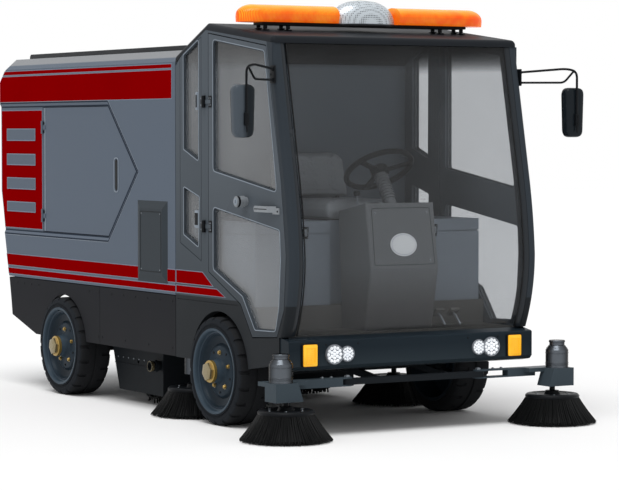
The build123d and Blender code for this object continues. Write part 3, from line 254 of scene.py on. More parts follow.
def rim_dish_shade(t, tone):
    """Painted shade darkens the rim towards the bottom of its dish."""
    return t.mix(t.off_middle(0.690, 0.738, 0.92, 0.0), tone, srgb(27, 35, 42))


def shell_outer_highlight(t, tone):
    """A painted highlight makes the shell by the driver's door paler towards its outer side."""
    return t.mix(t.ramp(t.axis("X"), -0.94, -0.97), tone, srgb(72, 80, 88))


def cab_zones(t, tone):
    """The cab side is near black below its crease and on the post in front of the door, and a painted shade
    darkens it towards its foot.
    """
    y = t.math("ADD", t.axis("Y"), -Y_DATUM / 1000)
    line = t.math("MAXIMUM", t.math("ADD", t.math("MULTIPLY", t.axis("Z"), 0.2104), -1.9668), -1.708)
    front = t.ramp(t.math("SUBTRACT", y, line), -0.006, -0.004, 1.0, 0.0)
    # painted shade: the side grows darker towards its foot
    tone = t.mix(t.high(0.62, 1.45, 0.6, 0.0), tone, srgb(56, 62, 67))
    tone = t.mix(front, tone, srgb(52, 58, 64))
    return t.mix(t.high(0.628, 0.630, 1.0, 0.0), tone, srgb(38, 41, 44))


def lit_top_edges(t, tone):
    """Painted light makes the body's sloping top edges paler and greyer, where light falls from above."""
    return t.mix(t.high(1.836, 1.842), tone, srgb(140, 142, 145))


def door_shade(t, tone):
    """A painted shade makes the doors darker towards their foot."""
    return t.mix(t.high(0.5, 1.3, 0.75, 0.0), tone, srgb(50, 55, 60))


def dash_shade(t, tone):
    """A painted shade makes the console darker below its fold."""
    return t.mix(t.high(0.60, 0.80, 1.0, 0.0), tone, srgb(62, 62, 63))


def bumper_low(t, tone):
    """The bumper's lower half is a shade lighter."""
    return t.mix(t.high(0.42, 0.34), tone, srgb(42, 51, 57))


# Each painted, moulded or metal finish: colour, roughness, metal, grain, bump, change of tone, and what else
# sets it apart.
FINISHES = {
    "body_grey": ((91, 101, 114), 0.42, 0.0, 320, 0.05, 0.04, dict(cloud=1.2, spec=0.04, extra=lit_top_edges)),
    "trim_dark": ((29, 32, 36), 0.4, 0.0, 340, 0.10, 0.08, dict(spec=0.12)),
    "cab_dark": ((34, 39, 44), 0.24, 0.0, 330, 0.05, 0.05, dict(spec=0.22)),
    "cab_sides": ((80, 87, 94), 0.34, 0.0, 330, 0.05, 0.05, dict(spec=0.03, extra=cab_zones)),
    "roof_dark": ((34, 37, 41), 0.5, 0.0, 330, 0.06, 0.05, dict(spec=0.05)),
    "skirt_black": ((42, 43, 46), 0.6, 0.0, 420, 0.22, 0.10, dict(dust=0.10, spec=0.02)),
    "bumper_dark": ((30, 39, 46), 0.32, 0.0, 300, 0.05, 0.06, dict(spec=0.05, extra=bumper_low)),
    "frame_black": ((27, 31, 35), 0.4, 0.0, 240, 0.12, 0.12, dict(dust=0.04, spec=0.03)),
    "door_paint": ((86, 93, 100), 0.3, 0.0, 330, 0.05, 0.05, dict(spec=0.03, extra=door_shade)),
    "rim_blue": ((60, 73, 84), 0.3, 0.0, 280, 0.06, 0.10, dict(spec=0.05, extra=rim_dish_shade)),
    "tyre_rubber": ((36, 37, 39), 0.7, 0.0, 190, 0.18, 0.14, dict(spec=0.04, extra=sidewall)),
    "silver": ((200, 208, 214), 0.3, 0.35, 500, 0.04, 0.05, dict(spec=0.2, extra=perforated)),
    # the motor's steel has a painted shade where it turns away from view
    "motor_steel": ((92, 97, 103), 0.25, 0.6, 60, 0.10, 0.12,
                    dict(stretch=(1, 1, 14), spec=0.1, rim=srgb(16, 19, 22))),
    "handle_metal": ((138, 143, 148), 0.3, 0.2, 90, 0.10, 0.08, dict(stretch=(1, 9, 1), spec=0.1)),
    "bristle": ((14, 15, 16), 0.6, 0.0, 140, 0.5, 0.35, dict(stretch=(9, 9, 1), spec=0.15)),
    "dash_plastic": ((92, 95, 98), 0.5, 0.0, 480, 0.05, 0.04, dict(spec=0.15, extra=dash_shade)),
    "box_grey": ((118, 127, 137), 0.45, 0.0, 360, 0.10, 0.05, dict(spec=0.3)),
    "floor_grey": ((84, 83, 81), 0.6, 0.0, 300, 0.15, 0.07, dict(spec=0.05)),
    "wall_grey": ((104, 112, 120), 0.6, 0.0, 420, 0.03, 0.03, dict(cloud=1.0, spec=0.05)),
    "seat_vinyl": ((142, 147, 152), 0.5, 0.0, 420, 0.08, 0.06, dict(spec=0.15)),
    "wheel_rubber": ((13, 14, 16), 0.5, 0.0, 500, 0.3, 0.08, dict(spec=0.06)),
    "lamp_clear": ((225, 228, 232), 0.12, 0.0, 120, 0.3, 0.04),
    "red_stripe": ((134, 0, 2), 0.6, 0.0, 300, 0.04, 0.04, dict(spec=0.0)),
    "stripe_edge": ((108, 124, 142), 0.4, 0.0, 300, 0.04, 0.05, dict(spec=0.2)),
    "rubber": ((14, 15, 17), 0.6, 0.0, 300, 0.15, 0.1, dict(spec=0.2)),
    # pale trim, also painted as highlights along edges
    "pale_trim_and_highlight": ((134, 144, 155), 0.3, 0.2, 300, 0.05, 0.05, dict(spec=0.1)),
    "vent_dark": ((56, 62, 67), 0.34, 0.0, 300, 0.08, 0.06, dict(spec=0.03)),
    "arm_paint": ((62, 72, 79), 0.35, 0.0, 260, 0.06, 0.08, dict(spec=0.05)),
    "groove": ((36, 45, 58), 0.5, 0.0, 260, 0.06, 0.08, dict(spec=0.03)),
    "seal_grey": ((62, 68, 74), 0.5, 0.0, 260, 0.06, 0.08, dict(spec=0.03)),
    "brass": ((142, 130, 100), 0.3, 0.7, 160, 0.15, 0.16),
    "gold": ((170, 142, 78), 0.32, 0.7, 160, 0.12, 0.14),
    "zinc": ((120, 126, 132), 0.34, 0.7, 160, 0.12, 0.10),
    "badge": ((205, 208, 211), 0.3, 0.1, 300, 0.03, 0.04),
    "mirror": ((205, 208, 212), 0.05, 1.0, 60, 0.0, 0.02),
    "mirror_shell": ((24, 30, 35), 0.22, 0.0, 260, 0.04, 0.08, dict(spec=0.10, extra=shell_outer_highlight)),
    "cup": ((140, 145, 152), 0.22, 0.3, 200, 0.08, 0.06),
    "black_plastic": ((18, 20, 23), 0.42, 0.0, 380, 0.2, 0.08, dict(spec=0.08)),
    "screen": ((14, 18, 22), 0.2, 0.0, 60, 0.0, 0.2, dict(spec=0.3)),
    "dial_mark": ((190, 194, 198), 0.4, 0.0, 200, 0.04, 0.04),
}
M = {}
for name, (colour, *numbers) in FINISHES.items():
    more = numbers.pop() if isinstance(numbers[-1], dict) else {}
    M[name] = surface(name, srgb(*colour), *numbers, **more)
M.update({
    "pane": glass("pane", srgb(239, 240, 241)),
    # painted highlights on the lenses' rib crests, and along the top of the beacon's lens
    "amber_lens": lens("amber_lens", srgb(250, 88, 6), srgb(255, 160, 30), 7.0, 0.30, srgb(255, 184, 50)),
    "amber_marker": lens("amber_marker", srgb(252, 186, 40), srgb(255, 212, 76), 6.0, 0.22),
    "red_lens": lens("red_lens", srgb(150, 8, 8), srgb(214, 30, 22), 8.0, 0.10),
    "led": lens("led", srgb(232, 236, 241), srgb(252, 254, 255), 3.0, 0.28),
})
# Nodes whose finish is lighter or darker than that of their slot.
OWN_FINISH = {"brush_arm_right": "arm_paint", "brush_arm_left": "arm_paint", "cab_rear_wall": "wall_grey",
              "vent_boxes": "vent_dark", "cab_floor": "floor_grey", "cab_roof": "roof_dark",
              "cab_side_right": "cab_sides", "cab_side_left": "cab_sides"}
slot_of = {row["node"]: row["material_slot"] for row in frame["record"]["subparts"]}
for node_name, ob in nodes.items():
    ob.data.materials.clear()
    ob.data.materials.append(M[OWN_FINISH.get(node_name, slot_of[node_name])])


# Mesh helpers
class Build:
    """Collects forms in one mesh, each with a material number, and makes a piece of them."""

    def __init__(self):
        self.bm = bmesh.new()

    def mark(self, faces, mat=0):
        for f in faces:
            f.material_index = mat
            f.smooth = True

    def row(self, points):
        return [self.bm.verts.new(p) for p in points]

    def skin(self, rows, mat=0, capped=False, closed=False):
        """Joins rows of vertices, each a loop or one point, and caps the ends or joins last to first."""
        faces = []
        for a, b in list(zip(rows, rows[1:])) + ([(rows[-1], rows[0])] if closed else []):
            count = max(len(a), len(b))
            for k in range(count):
                n = (k + 1) % count
                loop = [a[0]] if len(a) == 1 else [a[k], a[n]]
                loop += [b[0]] if len(b) == 1 else [b[n], b[k]]
                if len(loop) > 2:
                    faces.append(self.bm.faces.new(loop))
        if capped:
            faces += [self.bm.faces.new(rows[0][::-1]), self.bm.faces.new(rows[-1])]
        self.mark(faces, mat)

    def box(self, x0, x1, y0, y1, z0, z1, bevel=0.0, mat=0, turn=None):
        low = at(min(x0, x1), min(y0, y1), min(z0, z1))
        high = at(max(x0, x1), max(y0, y1), max(z0, z1))
        m = Matrix.Translation((low + high) / 2)
        if turn is not None:
            m = m @ turn
        m = m @ Matrix.Diagonal((*(high - low), 1))
        made = bmesh.ops.create_cube(self.bm, size=1.0, matrix=m)["verts"]
        self.mark({f for v in made for f in v.link_faces}, mat)
        if bevel:
            edges = {e for v in made for e in v.link_edges}
            out = bmesh.ops.bevel(self.bm, geom=list(edges), offset=bevel / 1000, segments=2, affect="EDGES",
                                  profile=0.6)
            self.mark(out["faces"], mat)

    def turned(self, profile, origin, axis, sides=32, mat=0):
        """A form turned about an axis from an origin in metres: rows of radius and distance along it in mm."""
        axis = Vector(axis).normalized()
        side = axis.orthogonal().normalized()
        other = axis.cross(side)
        rows = []
        for radius, along in profile:
            centre = origin + axis * along / 1000
            rows.append(self.row([centre] if radius <= 0 else [
                centre + (side * cos(a) + other * sin(a)) * radius / 1000 for a in turns(sides)]))
        self.skin(rows, mat)

    def prism(self, points, shift, mat=0):
        """A flat outline of points in metres, made thick by a shift."""
        a = self.row(points)
        b = self.row([p + shift for p in points])
        faces = [self.bm.faces.new(a), self.bm.faces.new(b[::-1])]
        for k in range(len(a)):
            n = (k + 1) % len(a)
            faces.append(self.bm.faces.new((a[n], a[k], b[k], b[n])))
        self.mark(faces, mat)

    def ring(self, outer, inner, shift, mat=0):
        """A frame between two outlines of as many points each, made thick by a shift."""
        rows = (outer, inner, [p + shift for p in inner], [p + shift for p in outer])
        self.skin([self.row(line) for line in rows], mat, closed=True)

    def side_prism(self, outline, x, thick, mat=0):
        """A flat outline of (y, z) points at a place across the machine, made thick towards the outside."""
        self.prism(side_points(outline, x), outwards(x, thick), mat)

    def side_ring(self, outer, inner, x, thick, mat=0):
        self.ring(side_points(outer, x), side_points(inner, x), outwards(x, thick), mat)

    def tube(self, points, radius, sides=10, mat=0, closed=False, radii=None):
        """A round tube through points in metres."""
        rings = []
        count = len(points)
        normal = None
        for k, p in enumerate(points):
            before = points[k - 1] if (k or closed) else p
            after = points[(k + 1) % count] if (k < count - 1 or closed) else p
            along = (after - before).normalized()
            if normal is None:
                normal = along.orthogonal().normalized()
            normal = (normal - along * normal.dot(along)).normalized()
            other = along.cross(normal)
            r = (radii[k] if radii else radius) / 1000
            rings.append(self.row([p + (normal * cos(a) + other * sin(a)) * r for a in turns(sides)]))
        self.skin(rings, mat, capped=not closed, closed=closed)

    def stud(self, origin, axis, radius, height, mat=0, sides=12):
        self.turned([(radius, 0), (radius, height * 0.45), (radius * 0.8, height * 0.8), (0, height)],
                    origin, axis, sides, mat)

    def nut(self, origin, axis, radius, height, mat=0):
        self.turned([(radius, 0), (radius, height * 0.8), (radius * 0.85, height), (radius * 0.5, height),
                     (radius * 0.46, height + 1.5), (0, height + 1.5)], origin, axis, 6, mat)

    def make(self, name, body, slots, sharp=38.0, replaces=()):
        bmesh.ops.recalc_face_normals(self.bm, faces=self.bm.faces[:])
        limit = radians(sharp)
        for e in self.bm.edges:
            if len(e.link_faces) == 2:
                e.smooth = e.calc_face_angle(0.0) < limit
        mesh = bpy.data.meshes.new(name)
        self.bm.to_mesh(mesh)
        self.bm.free()
        for s in slots:
            mesh.materials.append(M[s])
        ob = bpy.data.objects.new(name, mesh)
        bpy.context.scene.collection.objects.link(ob)
        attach(ob, body)
        if replaces:
            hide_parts(*replaces)
        return ob


def rounded(outline, radius, steps=5):
    """An outline of (a, b) points with its corners rounded."""
    points = []
    count = len(outline)
    for k in range(count):
        p = Vector(outline[k])
        a = Vector(outline[k - 1]) - p
        b = Vector(outline[(k + 1) % count]) - p
        reach = min(radius / tan(a.angle(b) / 2), a.length * 0.45, b.length * 0.45)
        first = p + a.normalized() * reach
        last = p + b.normalized() * reach
        for s in range(steps + 1):
            w = s / steps
            points.append(first * (1 - w) ** 2 + p * 2 * w * (1 - w) + last * w * w)
    return points


def grown(outline, amount):
    """An outline moved outwards by an amount, inwards by a negative one."""
    area = sum(a[0] * b[1] - b[0] * a[1] for a, b in zip(outline, outline[1:] + outline[:1]))
    sign = 1 if area > 0 else -1
    points = []
    count = len(outline)
    for k in range(count):
        p = Vector(outline[k])
        a = (p - Vector(outline[k - 1])).normalized()
        b = (Vector(outline[(k + 1) % count]) - p).normalized()
        na = Vector((a.y, -a.x)) * sign
        nb = Vector((b.y, -b.x)) * sign
        mid = na + nb
        if mid.length < 1e-6:
            points.append(p + na * amount)
            continue
        mid.normalize()
        points.append(p + mid * amount / max(0.3, mid.dot(na)))
    return points


def side_points(outline, x):
    return [at(x, p[0], p[1]) for p in outline]


def outwards(x, length):
    """A shift in metres away from the machine's middle plane, on the side that x is on."""
    return Vector(((1 if x > 0 else -1) * length / 1000, 0, 0))


# Camera, world, light and floor
# Camera, from a fit to the photograph's vanishing lines: place in metres and angles in degrees.
camera_place = Vector((-6.8987, -12.1356, 1.4583))
camera_azimuth = 30.7058
camera_pitch = 2.4947
focal_pixels = 2596.39
image_width = 619
sensor_width = 36.0

camera_data = bpy.data.cameras.new("camera")
camera_data.sensor_width = sensor_width
camera_data.lens = sensor_width * focal_pixels / image_width
camera = bpy.data.objects.new("camera", camera_data)
camera.location = camera_place
camera.rotation_euler = (radians(90 - camera_pitch), 0, -radians(camera_azimuth))
bpy.context.scene.collection.objects.link(camera)
bpy.context.scene.camera = camera
bpy.context.scene.view_settings.view_transform = "Standard"


WHITE = (1, 1, 1, 1)
WORLD_LIGHT = 0.55
WORLD_SEEN = 1.0
FLOOR_TONE = 0.94

# The world lights the scene at one level and is white where it is seen, also in gloss and through glass.
world = bpy.data.worlds.new("studio")
bpy.context.scene.world = world
t = Tree("studio", world)
path = t.node("LightPath")
direct = path.outputs["Is Camera Ray"]
for name in ("Is Glossy Ray", "Is Transmission Ray"):
    direct = t.math("MAXIMUM", direct, path.outputs[name])
lit = t.node("Background", Color=WHITE, Strength=WORLD_LIGHT)
seen = t.node("Background", Color=WHITE, Strength=WORLD_SEEN)
blend = t.node("MixShader")
t.feed((direct, lit.outputs[0], seen.outputs[0]), blend.inputs)
t.finish(blend)

bpy.ops.mesh.primitive_plane_add(size=80, location=(0, 0, 0))
floor = bpy.context.object
floor.name = "floor"
floor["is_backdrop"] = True
t = Tree("floor")
floor.data.materials.append(t.finish(t.node("BsdfDiffuse", Color=(FLOOR_TONE, FLOOR_TONE, FLOOR_TONE, 1))))

sun = bpy.data.lights.new("key", "SUN")
sun.energy = 1.9
sun.angle = radians(38)
key = bpy.data.objects.new("key", sun)
key.rotation_euler = Vector((0.32, 0.28, -1.1)).to_track_quat("-Z", "Y").to_euler()
bpy.context.scene.collection.objects.link(key)


# Stripes and panel on the body's sides
HALF = 712.0
RECESS = 704.0
STRIPE_THICK = 0.4
EDGE_WIDE = 4.0
stripes = (
    (HALF, [(-594, 1630), (1554, 1630), (1554, 1741), (1517, 1775), (-594, 1775)]),
    (HALF, [(-594, 1786), (1505, 1786), (1484, 1805), (-594, 1805)]),
    (HALF, [(-634, 690), (1450, 690), (1466, 752), (-634, 752)]),
    (HALF, [(-634, 641), (1438, 641), (1446, 672), (-634, 672)]),
    (HALF, [(-646, 690), (-646, 753), (-926, 753), (-1030, 690)]),
    (HALF, [(-646, 641), (-646, 675), (-1075, 675), (-1157, 641)]),
    (RECESS, [(993, 908), (1502, 908), (1546, 1119), (1546, 1579), (993, 1579)]),
)
for side, word in SIDES:
    b = Build()
    for plane, outline in stripes:
        b.side_prism(grown(outline, EDGE_WIDE), side * plane, STRIPE_THICK, 1)
        b.side_prism(outline, side * (plane + STRIPE_THICK), STRIPE_THICK, 0)
    b.make(f"stripes_{word}", "machine", ("red_stripe", "stripe_edge"))


# Hatches, louvres and skirts: hinge leaves, beads, grips, plates and bolts
def hatch_leaves(b, side, y, screw_y, mat):
    """Two black hinge leaves with two screws each, from y forward by their width."""
    x = side * RECESS
    for z in (954, 1452):
        b.box(x, x + side * 2.2, y, y + 17, z, z + 62, 1.0, mat)
        for dz in (18, 44):
            b.stud(at(x + side * 2.0, screw_y, z + dz), (side, 0, 0), 3.2, 2.0, 1, 10)


HATCH_MIDDLE = Vector((600, 1250))
bead_outer = [(1550, 1618.5), (143.5, 1618.5), (-212, 1250), (139.5, 875.5), (1494, 875.5)]
bead_inner = [(1550, 1597.5), (155, 1597.5), (-179, 1250), (153, 896.5), (1494, 896.5)]
grip_line = rounded([(33, 1140), (79, 1140), (79, 1317), (33, 1317)], 22)
for side, word in SIDES:
    b = Build()
    x = side * RECESS
    hatch_leaves(b, side, 979, 988, 3)
    # pale bead along the recess, a painted highlight on its edge, and the dark joint between it and the hatch
    for k in range(4):
        p, q = Vector(bead_outer[k]), Vector(bead_outer[k + 1])
        b.side_prism((p, q, bead_inner[k + 1], bead_inner[k]), x + side * 0.3, 0.6, 2)
        out = Vector(((q - p).y, -(q - p).x)).normalized()
        if out.dot(HATCH_MIDDLE - p) > 0:
            out = -out
        for near, far, mat in ((0.8, 9.0, 2), (9.0, 11.5, 0)):
            band = (p + out * near, q + out * near, q + out * far, p + out * far)
            b.side_prism(band, side * (HALF + 0.1), 0.6, mat)
    b.make(f"hatch_trim_{word}", "machine", ("pale_trim_and_highlight", "zinc", "groove", "black_plastic"))

    # on the hatch: a light strip along its rear edge, painted as a highlight, the frame and dark of its grip,
    # its hinge leaves
    b = Build()
    b.box(x, x + side * 1.6, 948, 956, 900, 1592, 0.5, 0)
    b.side_ring(grown(grip_line, 5.0), grip_line, x, 2.0, 0)
    b.side_prism(grown(grip_line, -9.0), x + side * 0.4, 0.6, 2)
    hatch_leaves(b, side, 958, 966, 2)
    b.make(f"hatch_face_{word}", f"{word}_hatch", ("pale_trim_and_highlight", "zinc", "black_plastic"))

    # the four plates of the louvre panel, each with a pale blue edge
    b = Build()
    for z0, z1 in ((1407, 1477), (1267, 1333), (1129, 1196), (999, 1058)):
        plate = [(1080, z0), (1470, z0), (1470, z1), (1080, z1)]
        b.side_prism(plate, x + side * 0.6, 2.2, 0)
        b.side_ring(plate, grown(plate, -5.0), x + side * 2.8, 0.5, 1)
    b.make(f"louvre_plates_{word}", "machine", ("body_grey", "stripe_edge"),
           replaces=("side_louvres",) if side < 0 else ())

    b = Build()
    high_row = [*range(-600, 240, 140), *range(258, 420, 120), 1030, 1130, 1230, 1330]
    for z, row in ((590, high_row), (350, (-600, -330, -60, 215, 262))):
        for y in row:
            b.stud(at(side * HALF, y, z), (side, 0, 0), 5.0, 3.0, 0, 12)
    b.make(f"skirt_bolts_{word}", "machine", ("black_plastic",))


# Gaskets round every pane, and the quarter panes' pulls
ROOF_PEAK_Y = -965
ROOF_PEAK_Z = 2000
ROOF_FRONT_SLOPE = 0.12294
ROOF_REAR_SLOPE = -0.45283


def roof_z(y):
    """Height of the roof's outer line."""
    return ROOF_PEAK_Z + (y - ROOF_PEAK_Y) * (ROOF_FRONT_SLOPE if y < ROOF_PEAK_Y else ROOF_REAR_SLOPE)


door_upper = [(-1039, roof_z(-1039) - 76), (-1551, roof_z(-1551) - 82), (-1670, 1172), (-1041, 1266)]
door_lower = [(-1041, 1083), (-1698, 988), (-1706, 850), (-1690, 620), (-1657, 506), (-1461, 500),
              (-1339, 657), (-1041, 775)]
quarter_upper = [(-727, roof_z(-727) - 46), (-727, 1372), (-884, 1314), (-886, roof_z(-886) - 46)]
quarter_lower = [(-727, 1179), (-727, 940), (-884, 880), (-892, 1131)]
for side, word in SIDES:
    for name, body, rows, radius in ((f"door_seals_{word}", f"{word}_door", (door_upper, door_lower), 22),
                                     (f"quarter_seals_{word}", "machine", (quarter_upper, quarter_lower), 11)):
        b = Build()
        for line in rows:
            base = rounded(line, radius, 6)
            # seal inside the opening, and a pale bright line on the frame round it, painted as a highlight
            b.side_ring(base, grown(base, -4.0), side * (HALF - 12), 10.0, 0)
            b.side_ring(grown(base, 5.0), grown(base, 0.6), side * HALF, 1.2, 1)
            b.side_ring(base, grown(base, -4.0), side * (HALF - 30), 6.0, 0)
        b.make(name, body, ("seal_grey", "pale_trim_and_highlight"))

    # grips of the sliding quarter panes: slim rounded pulls on the glass
    b = Build()
    x = side * (HALF - 13.8)
    for y0, y1, z0, z1 in ((-869, -839, 1568, 1659), (-878, -828, 975, 1064)):
        b.box(x, x + side * 9, y0 + 3, y1 - 3, z0, z1, 5.0, 0)
        b.box(x + side * 9, x + side * 10.5, y0 + 9, y1 - 9, z0 + 14, z1 - 14, 0.6, 1)
    b.make(f"pane_pulls_{word}", "machine", ("pale_trim_and_highlight", "black_plastic"))


# Wheels
TYRE_R = 270.0
TYRE_HALF = 98.0
WHEEL_X = HALF + 32 - TYRE_HALF
RIM_R = 214.4
LUGS = 20
LUG_CUT = 8.5
SHOULDER_CUT = 3.0
# half of the tyre's section, from its middle groove out to the rim: distance from the middle and radius
half_tyre = [(5, TYRE_R - 7), (8, TYRE_R), (38, TYRE_R), (40, TYRE_R), (60, TYRE_R), (78, TYRE_R - 1),
             (86, TYRE_R - 5), (92, RIM_R + 44), (94, RIM_R + 30), (95.5, RIM_R + 26), (95, RIM_R + 22),
             (92, RIM_R + 20), (90, RIM_R + 9), (97, RIM_R + 6), (96, RIM_R)]
tyre_profile = [(-x, r) for x, r in half_tyre[::-1]] + half_tyre


def tyre(name, side, axle_y, body, node):
    """Round tyre with a lug row on each shoulder, a grooved middle and rings on its sidewalls."""
    centre = at(side * WHEEL_X, axle_y, TYRE_R)
    b = Build()
    loops = []
    for k in range(LUGS):
        for w in (0.0, 0.03, 0.22, 0.25, 0.44, 0.63, 0.82):
            low = 0.03 <= w <= 0.22
            line = []
            for x, r in tyre_profile:
                # the left row is half a pitch behind the right one
                a = 2 * pi * (k + w if x > 0 else k + w + 0.5) / LUGS
                if low and abs(x) >= 40 and r > 256:
                    r -= LUG_CUT
                elif low and abs(x) >= 92 and r > RIM_R + 36:
                    r -= SHOULDER_CUT
                line.append(centre + Vector((side * x / 1000, sin(a) * r / 1000, cos(a) * r / 1000)))
            loops.append(b.row(line))
    faces = []
    count = len(loops)
    middle = len(half_tyre)
    # The two rows meet in the middle groove over half a pitch, joined on its floor.
    offset = min(range(count), key=lambda j: (loops[j][middle - 1].co - loops[0][middle].co).length)
    for i in range(count):
        a, n = loops[i], loops[(i + 1) % count]
        for k in range(len(tyre_profile) - 1):
            if k != middle - 1:
                faces.append(b.bm.faces.new((a[k], a[k + 1], n[k + 1], n[k])))
        left, next_left = loops[(i + offset) % count][middle - 1], loops[(i + 1 + offset) % count][middle - 1]
        faces.append(b.bm.faces.new((left, a[middle], n[middle], next_left)))
    b.mark(faces)
    b.make(name, body, ("tyre_rubber",), 30, replaces=(node,))


# rim: rolled lip, stepped dish, raised hub plate and a stepped hub
rim_profile = [(0, 120), (50, 120), (56, 96), (59, 74), (64, 66), (72, 60), (122, 60), (127, 57), (132, 50),
               (139, 46), (148, 48), (168, 49), (177, 54), (181, 62), (184, 72), (190, 75), (196, 79),
               (199, 91), (201, 95), (205, 98), (213.8, 98), (213.8, -98), (200, -98), (196, -70), (190, 20),
               (176, 30), (140, 30), (128, 38), (64, 36), (60, -24), (24.2, -24), (24.2, 67), (0, 67)]
HUB_PLATE_X = WHEEL_X + 60
LIP_X = WHEEL_X + 74
NOSE_X = HALF + 32 + 22
STUD_CIRCLE = 92
HOLE_CIRCLE = 108
LIP_LINE = 187
FRONT_AXLE_Y = -1096.0
REAR_AXLE_Y = 697.0
for tag, side, axle_y in (("fr", -1, FRONT_AXLE_Y), ("fl", 1, FRONT_AXLE_Y), ("rr", -1, REAR_AXLE_Y),
                          ("rl", 1, REAR_AXLE_Y)):
    tyre(f"tyre_detail_{tag}", side, axle_y, f"wheel_{tag}", f"tyre_{tag}")
    b = Build()
    axis = (side, 0, 0)
    b.turned(rim_profile, at(side * WHEEL_X, axle_y, TYRE_R), axis, 72, 4)
    # hub: hexagon nut on a stepped washer, five studs on the raised plate and five holes between them
    nose = at(side * NOSE_X, axle_y, TYRE_R)
    b.turned([(56, -14), (56, 1), (53, 4), (0, 4)], nose, axis, 40, 1)
    b.nut(nose + Vector((side * 0.0038, 0, 0)), axis, 46, 18, 0)
    for a in turns(5, pi / 2):
        y, z = axle_y + STUD_CIRCLE * cos(a), TYRE_R + STUD_CIRCLE * sin(a)
        b.turned([(13, 0), (13, 2.5), (0, 2.5)], at(side * HUB_PLATE_X, y, z), axis, 16, 0)
        b.nut(at(side * (HUB_PLATE_X + 2.4), y, z), axis, 10, 8, 1)
        a -= pi / 5
        y, z = axle_y + HOLE_CIRCLE * cos(a), TYRE_R + HOLE_CIRCLE * sin(a)
        b.turned([(6, 0), (6, 3), (0, 3.6)], at(side * HUB_PLATE_X, y, z), axis, 12, 2)
    # line along the lip, and the valve
    lip = [at(side * LIP_X, axle_y + LIP_LINE * cos(a), TYRE_R + LIP_LINE * sin(a)) for a in turns(64)]
    b.tube(lip, 1.6, 6, 3, closed=True)
    b.tube([at(side * (HUB_PLATE_X - 12), axle_y + 150, TYRE_R - 56),
            at(side * (HUB_PLATE_X + 8), axle_y + 153, TYRE_R - 58)], 3.0, 8, 2)
    b.make(f"hub_detail_{tag}", f"wheel_{tag}", ("brass", "gold", "rubber", "groove", "rim_blue"), 40,
           replaces=(f"rim_{tag}",))


# Brushes
FRONT_BRUSH = dict(x=772, y=-1862, radius=225)
MID_BRUSH = dict(x=609, y=-643, radius=228)


def brush(name, x, y, radius, body, node, shaft_top=262.0):
    """Disc brush: a thick plate, a ring of clamps and rows of bristles that flare to the floor."""
    b = Build()
    up = (0, 0, 1)
    foot = at(x, y, 0)
    disc = radius * 0.59
    b.turned([(0, 107), (disc * 0.5, 107), (disc - 6, 120), (disc + 1, 131), (disc + 3, 137), (disc + 2, 143),
              (disc - 6, 150), (disc - 22, 152), (disc - 30, 148), (44, 147), (40, 151), (34, 165), (16, 166),
              (14, 168), (14, shaft_top), (0, shaft_top)], foot, up, 48, 0)
    for a in turns(6):
        b.stud(at(x + (disc - 44) * cos(a), y + (disc - 44) * sin(a), 148), up, 6, 4, 1, 10)
    # inner dark body of the bristle pack
    b.turned([(disc * 0.88, 128), (radius * 0.72, 70), (radius * 0.88, 22), (radius * 0.86, 12),
              (radius * 0.4, 20), (radius * 0.3, 110)], foot, up, 48, 2)
    rows = ((0.975, 0.992, 150), (0.90, 0.95, 120), (0.80, 0.88, 90), (0.6, 0.7, 60))
    for top_share, foot_share, count in rows:
        for k in range(count):
            a = 2 * pi * (k + rng.random() * 0.7) / count
            lean = rng.uniform(-0.03, 0.03)
            r0 = disc * top_share
            r1 = radius * foot_share * rng.uniform(0.972, 0.999)
            low = 4.2 + rng.random() * 7
            points = []
            for s in range(5):
                w = s / 4
                r = r0 + (r1 - r0) * (0.78 * w + 0.22 * w * w)
                z = 134 + (low - 134) * w
                points.append(at(x + r * cos(a + lean * w), y + r * sin(a + lean * w), z))
            b.tube(points, 2.2, 4, 2, radii=[2.6, 2.8, 2.9, 2.6, 1.6])
    b.make(name, body, ("black_plastic", "zinc", "bristle"), 40, replaces=(node,))


for kind, place in (("front", FRONT_BRUSH), ("mid", MID_BRUSH)):
    for side, word in SIDES:
        brush(f"brush_detail_{kind[0]}{word[0]}", side * place["x"], place["y"], place["radius"],
              f"{word}_{kind}_brush", f"{kind}_brush_{word}")

# main roller: a core, end discs, the axle, and bristles in slanting rows
b = Build()
middle = at(0, -40, 188)
end = 540.0
ROLLER_ROWS = 14
ROW_TUFTS = 90
b.turned([(0, -590), (20, -590), (20, -end), (70, -end), (70, end), (20, end), (20, 590), (0, 590)],
         middle, (1, 0, 0), 40, 0)
b.turned([(150, -end + 6), (160, -end + 2), (160, end - 2), (150, end - 6)], middle, (1, 0, 0), 40, 1)
for row in range(ROLLER_ROWS):
    for k in range(ROW_TUFTS):
        w = k / (ROW_TUFTS - 1)
        a = 2 * pi * row / ROLLER_ROWS + w * 1.6 + rng.uniform(-0.04, 0.04)
        x = -end + 8 + (2 * end - 16) * w
        tip = 183.6 - rng.random() * 3
        inner = Vector((x / 1000, 0.068 * cos(a), 0.068 * sin(a)))
        x += rng.uniform(-5, 5)
        outer = Vector((x, tip * cos(a + 0.1), tip * sin(a + 0.1))) / 1000
        b.tube([middle + inner, middle + outer], 4.0, 4, 1, radii=[3.5, 4.5])
b.make("roller_detail", "sweep_roller", ("frame_black", "bristle"), 40,
       replaces=("main_roller",))


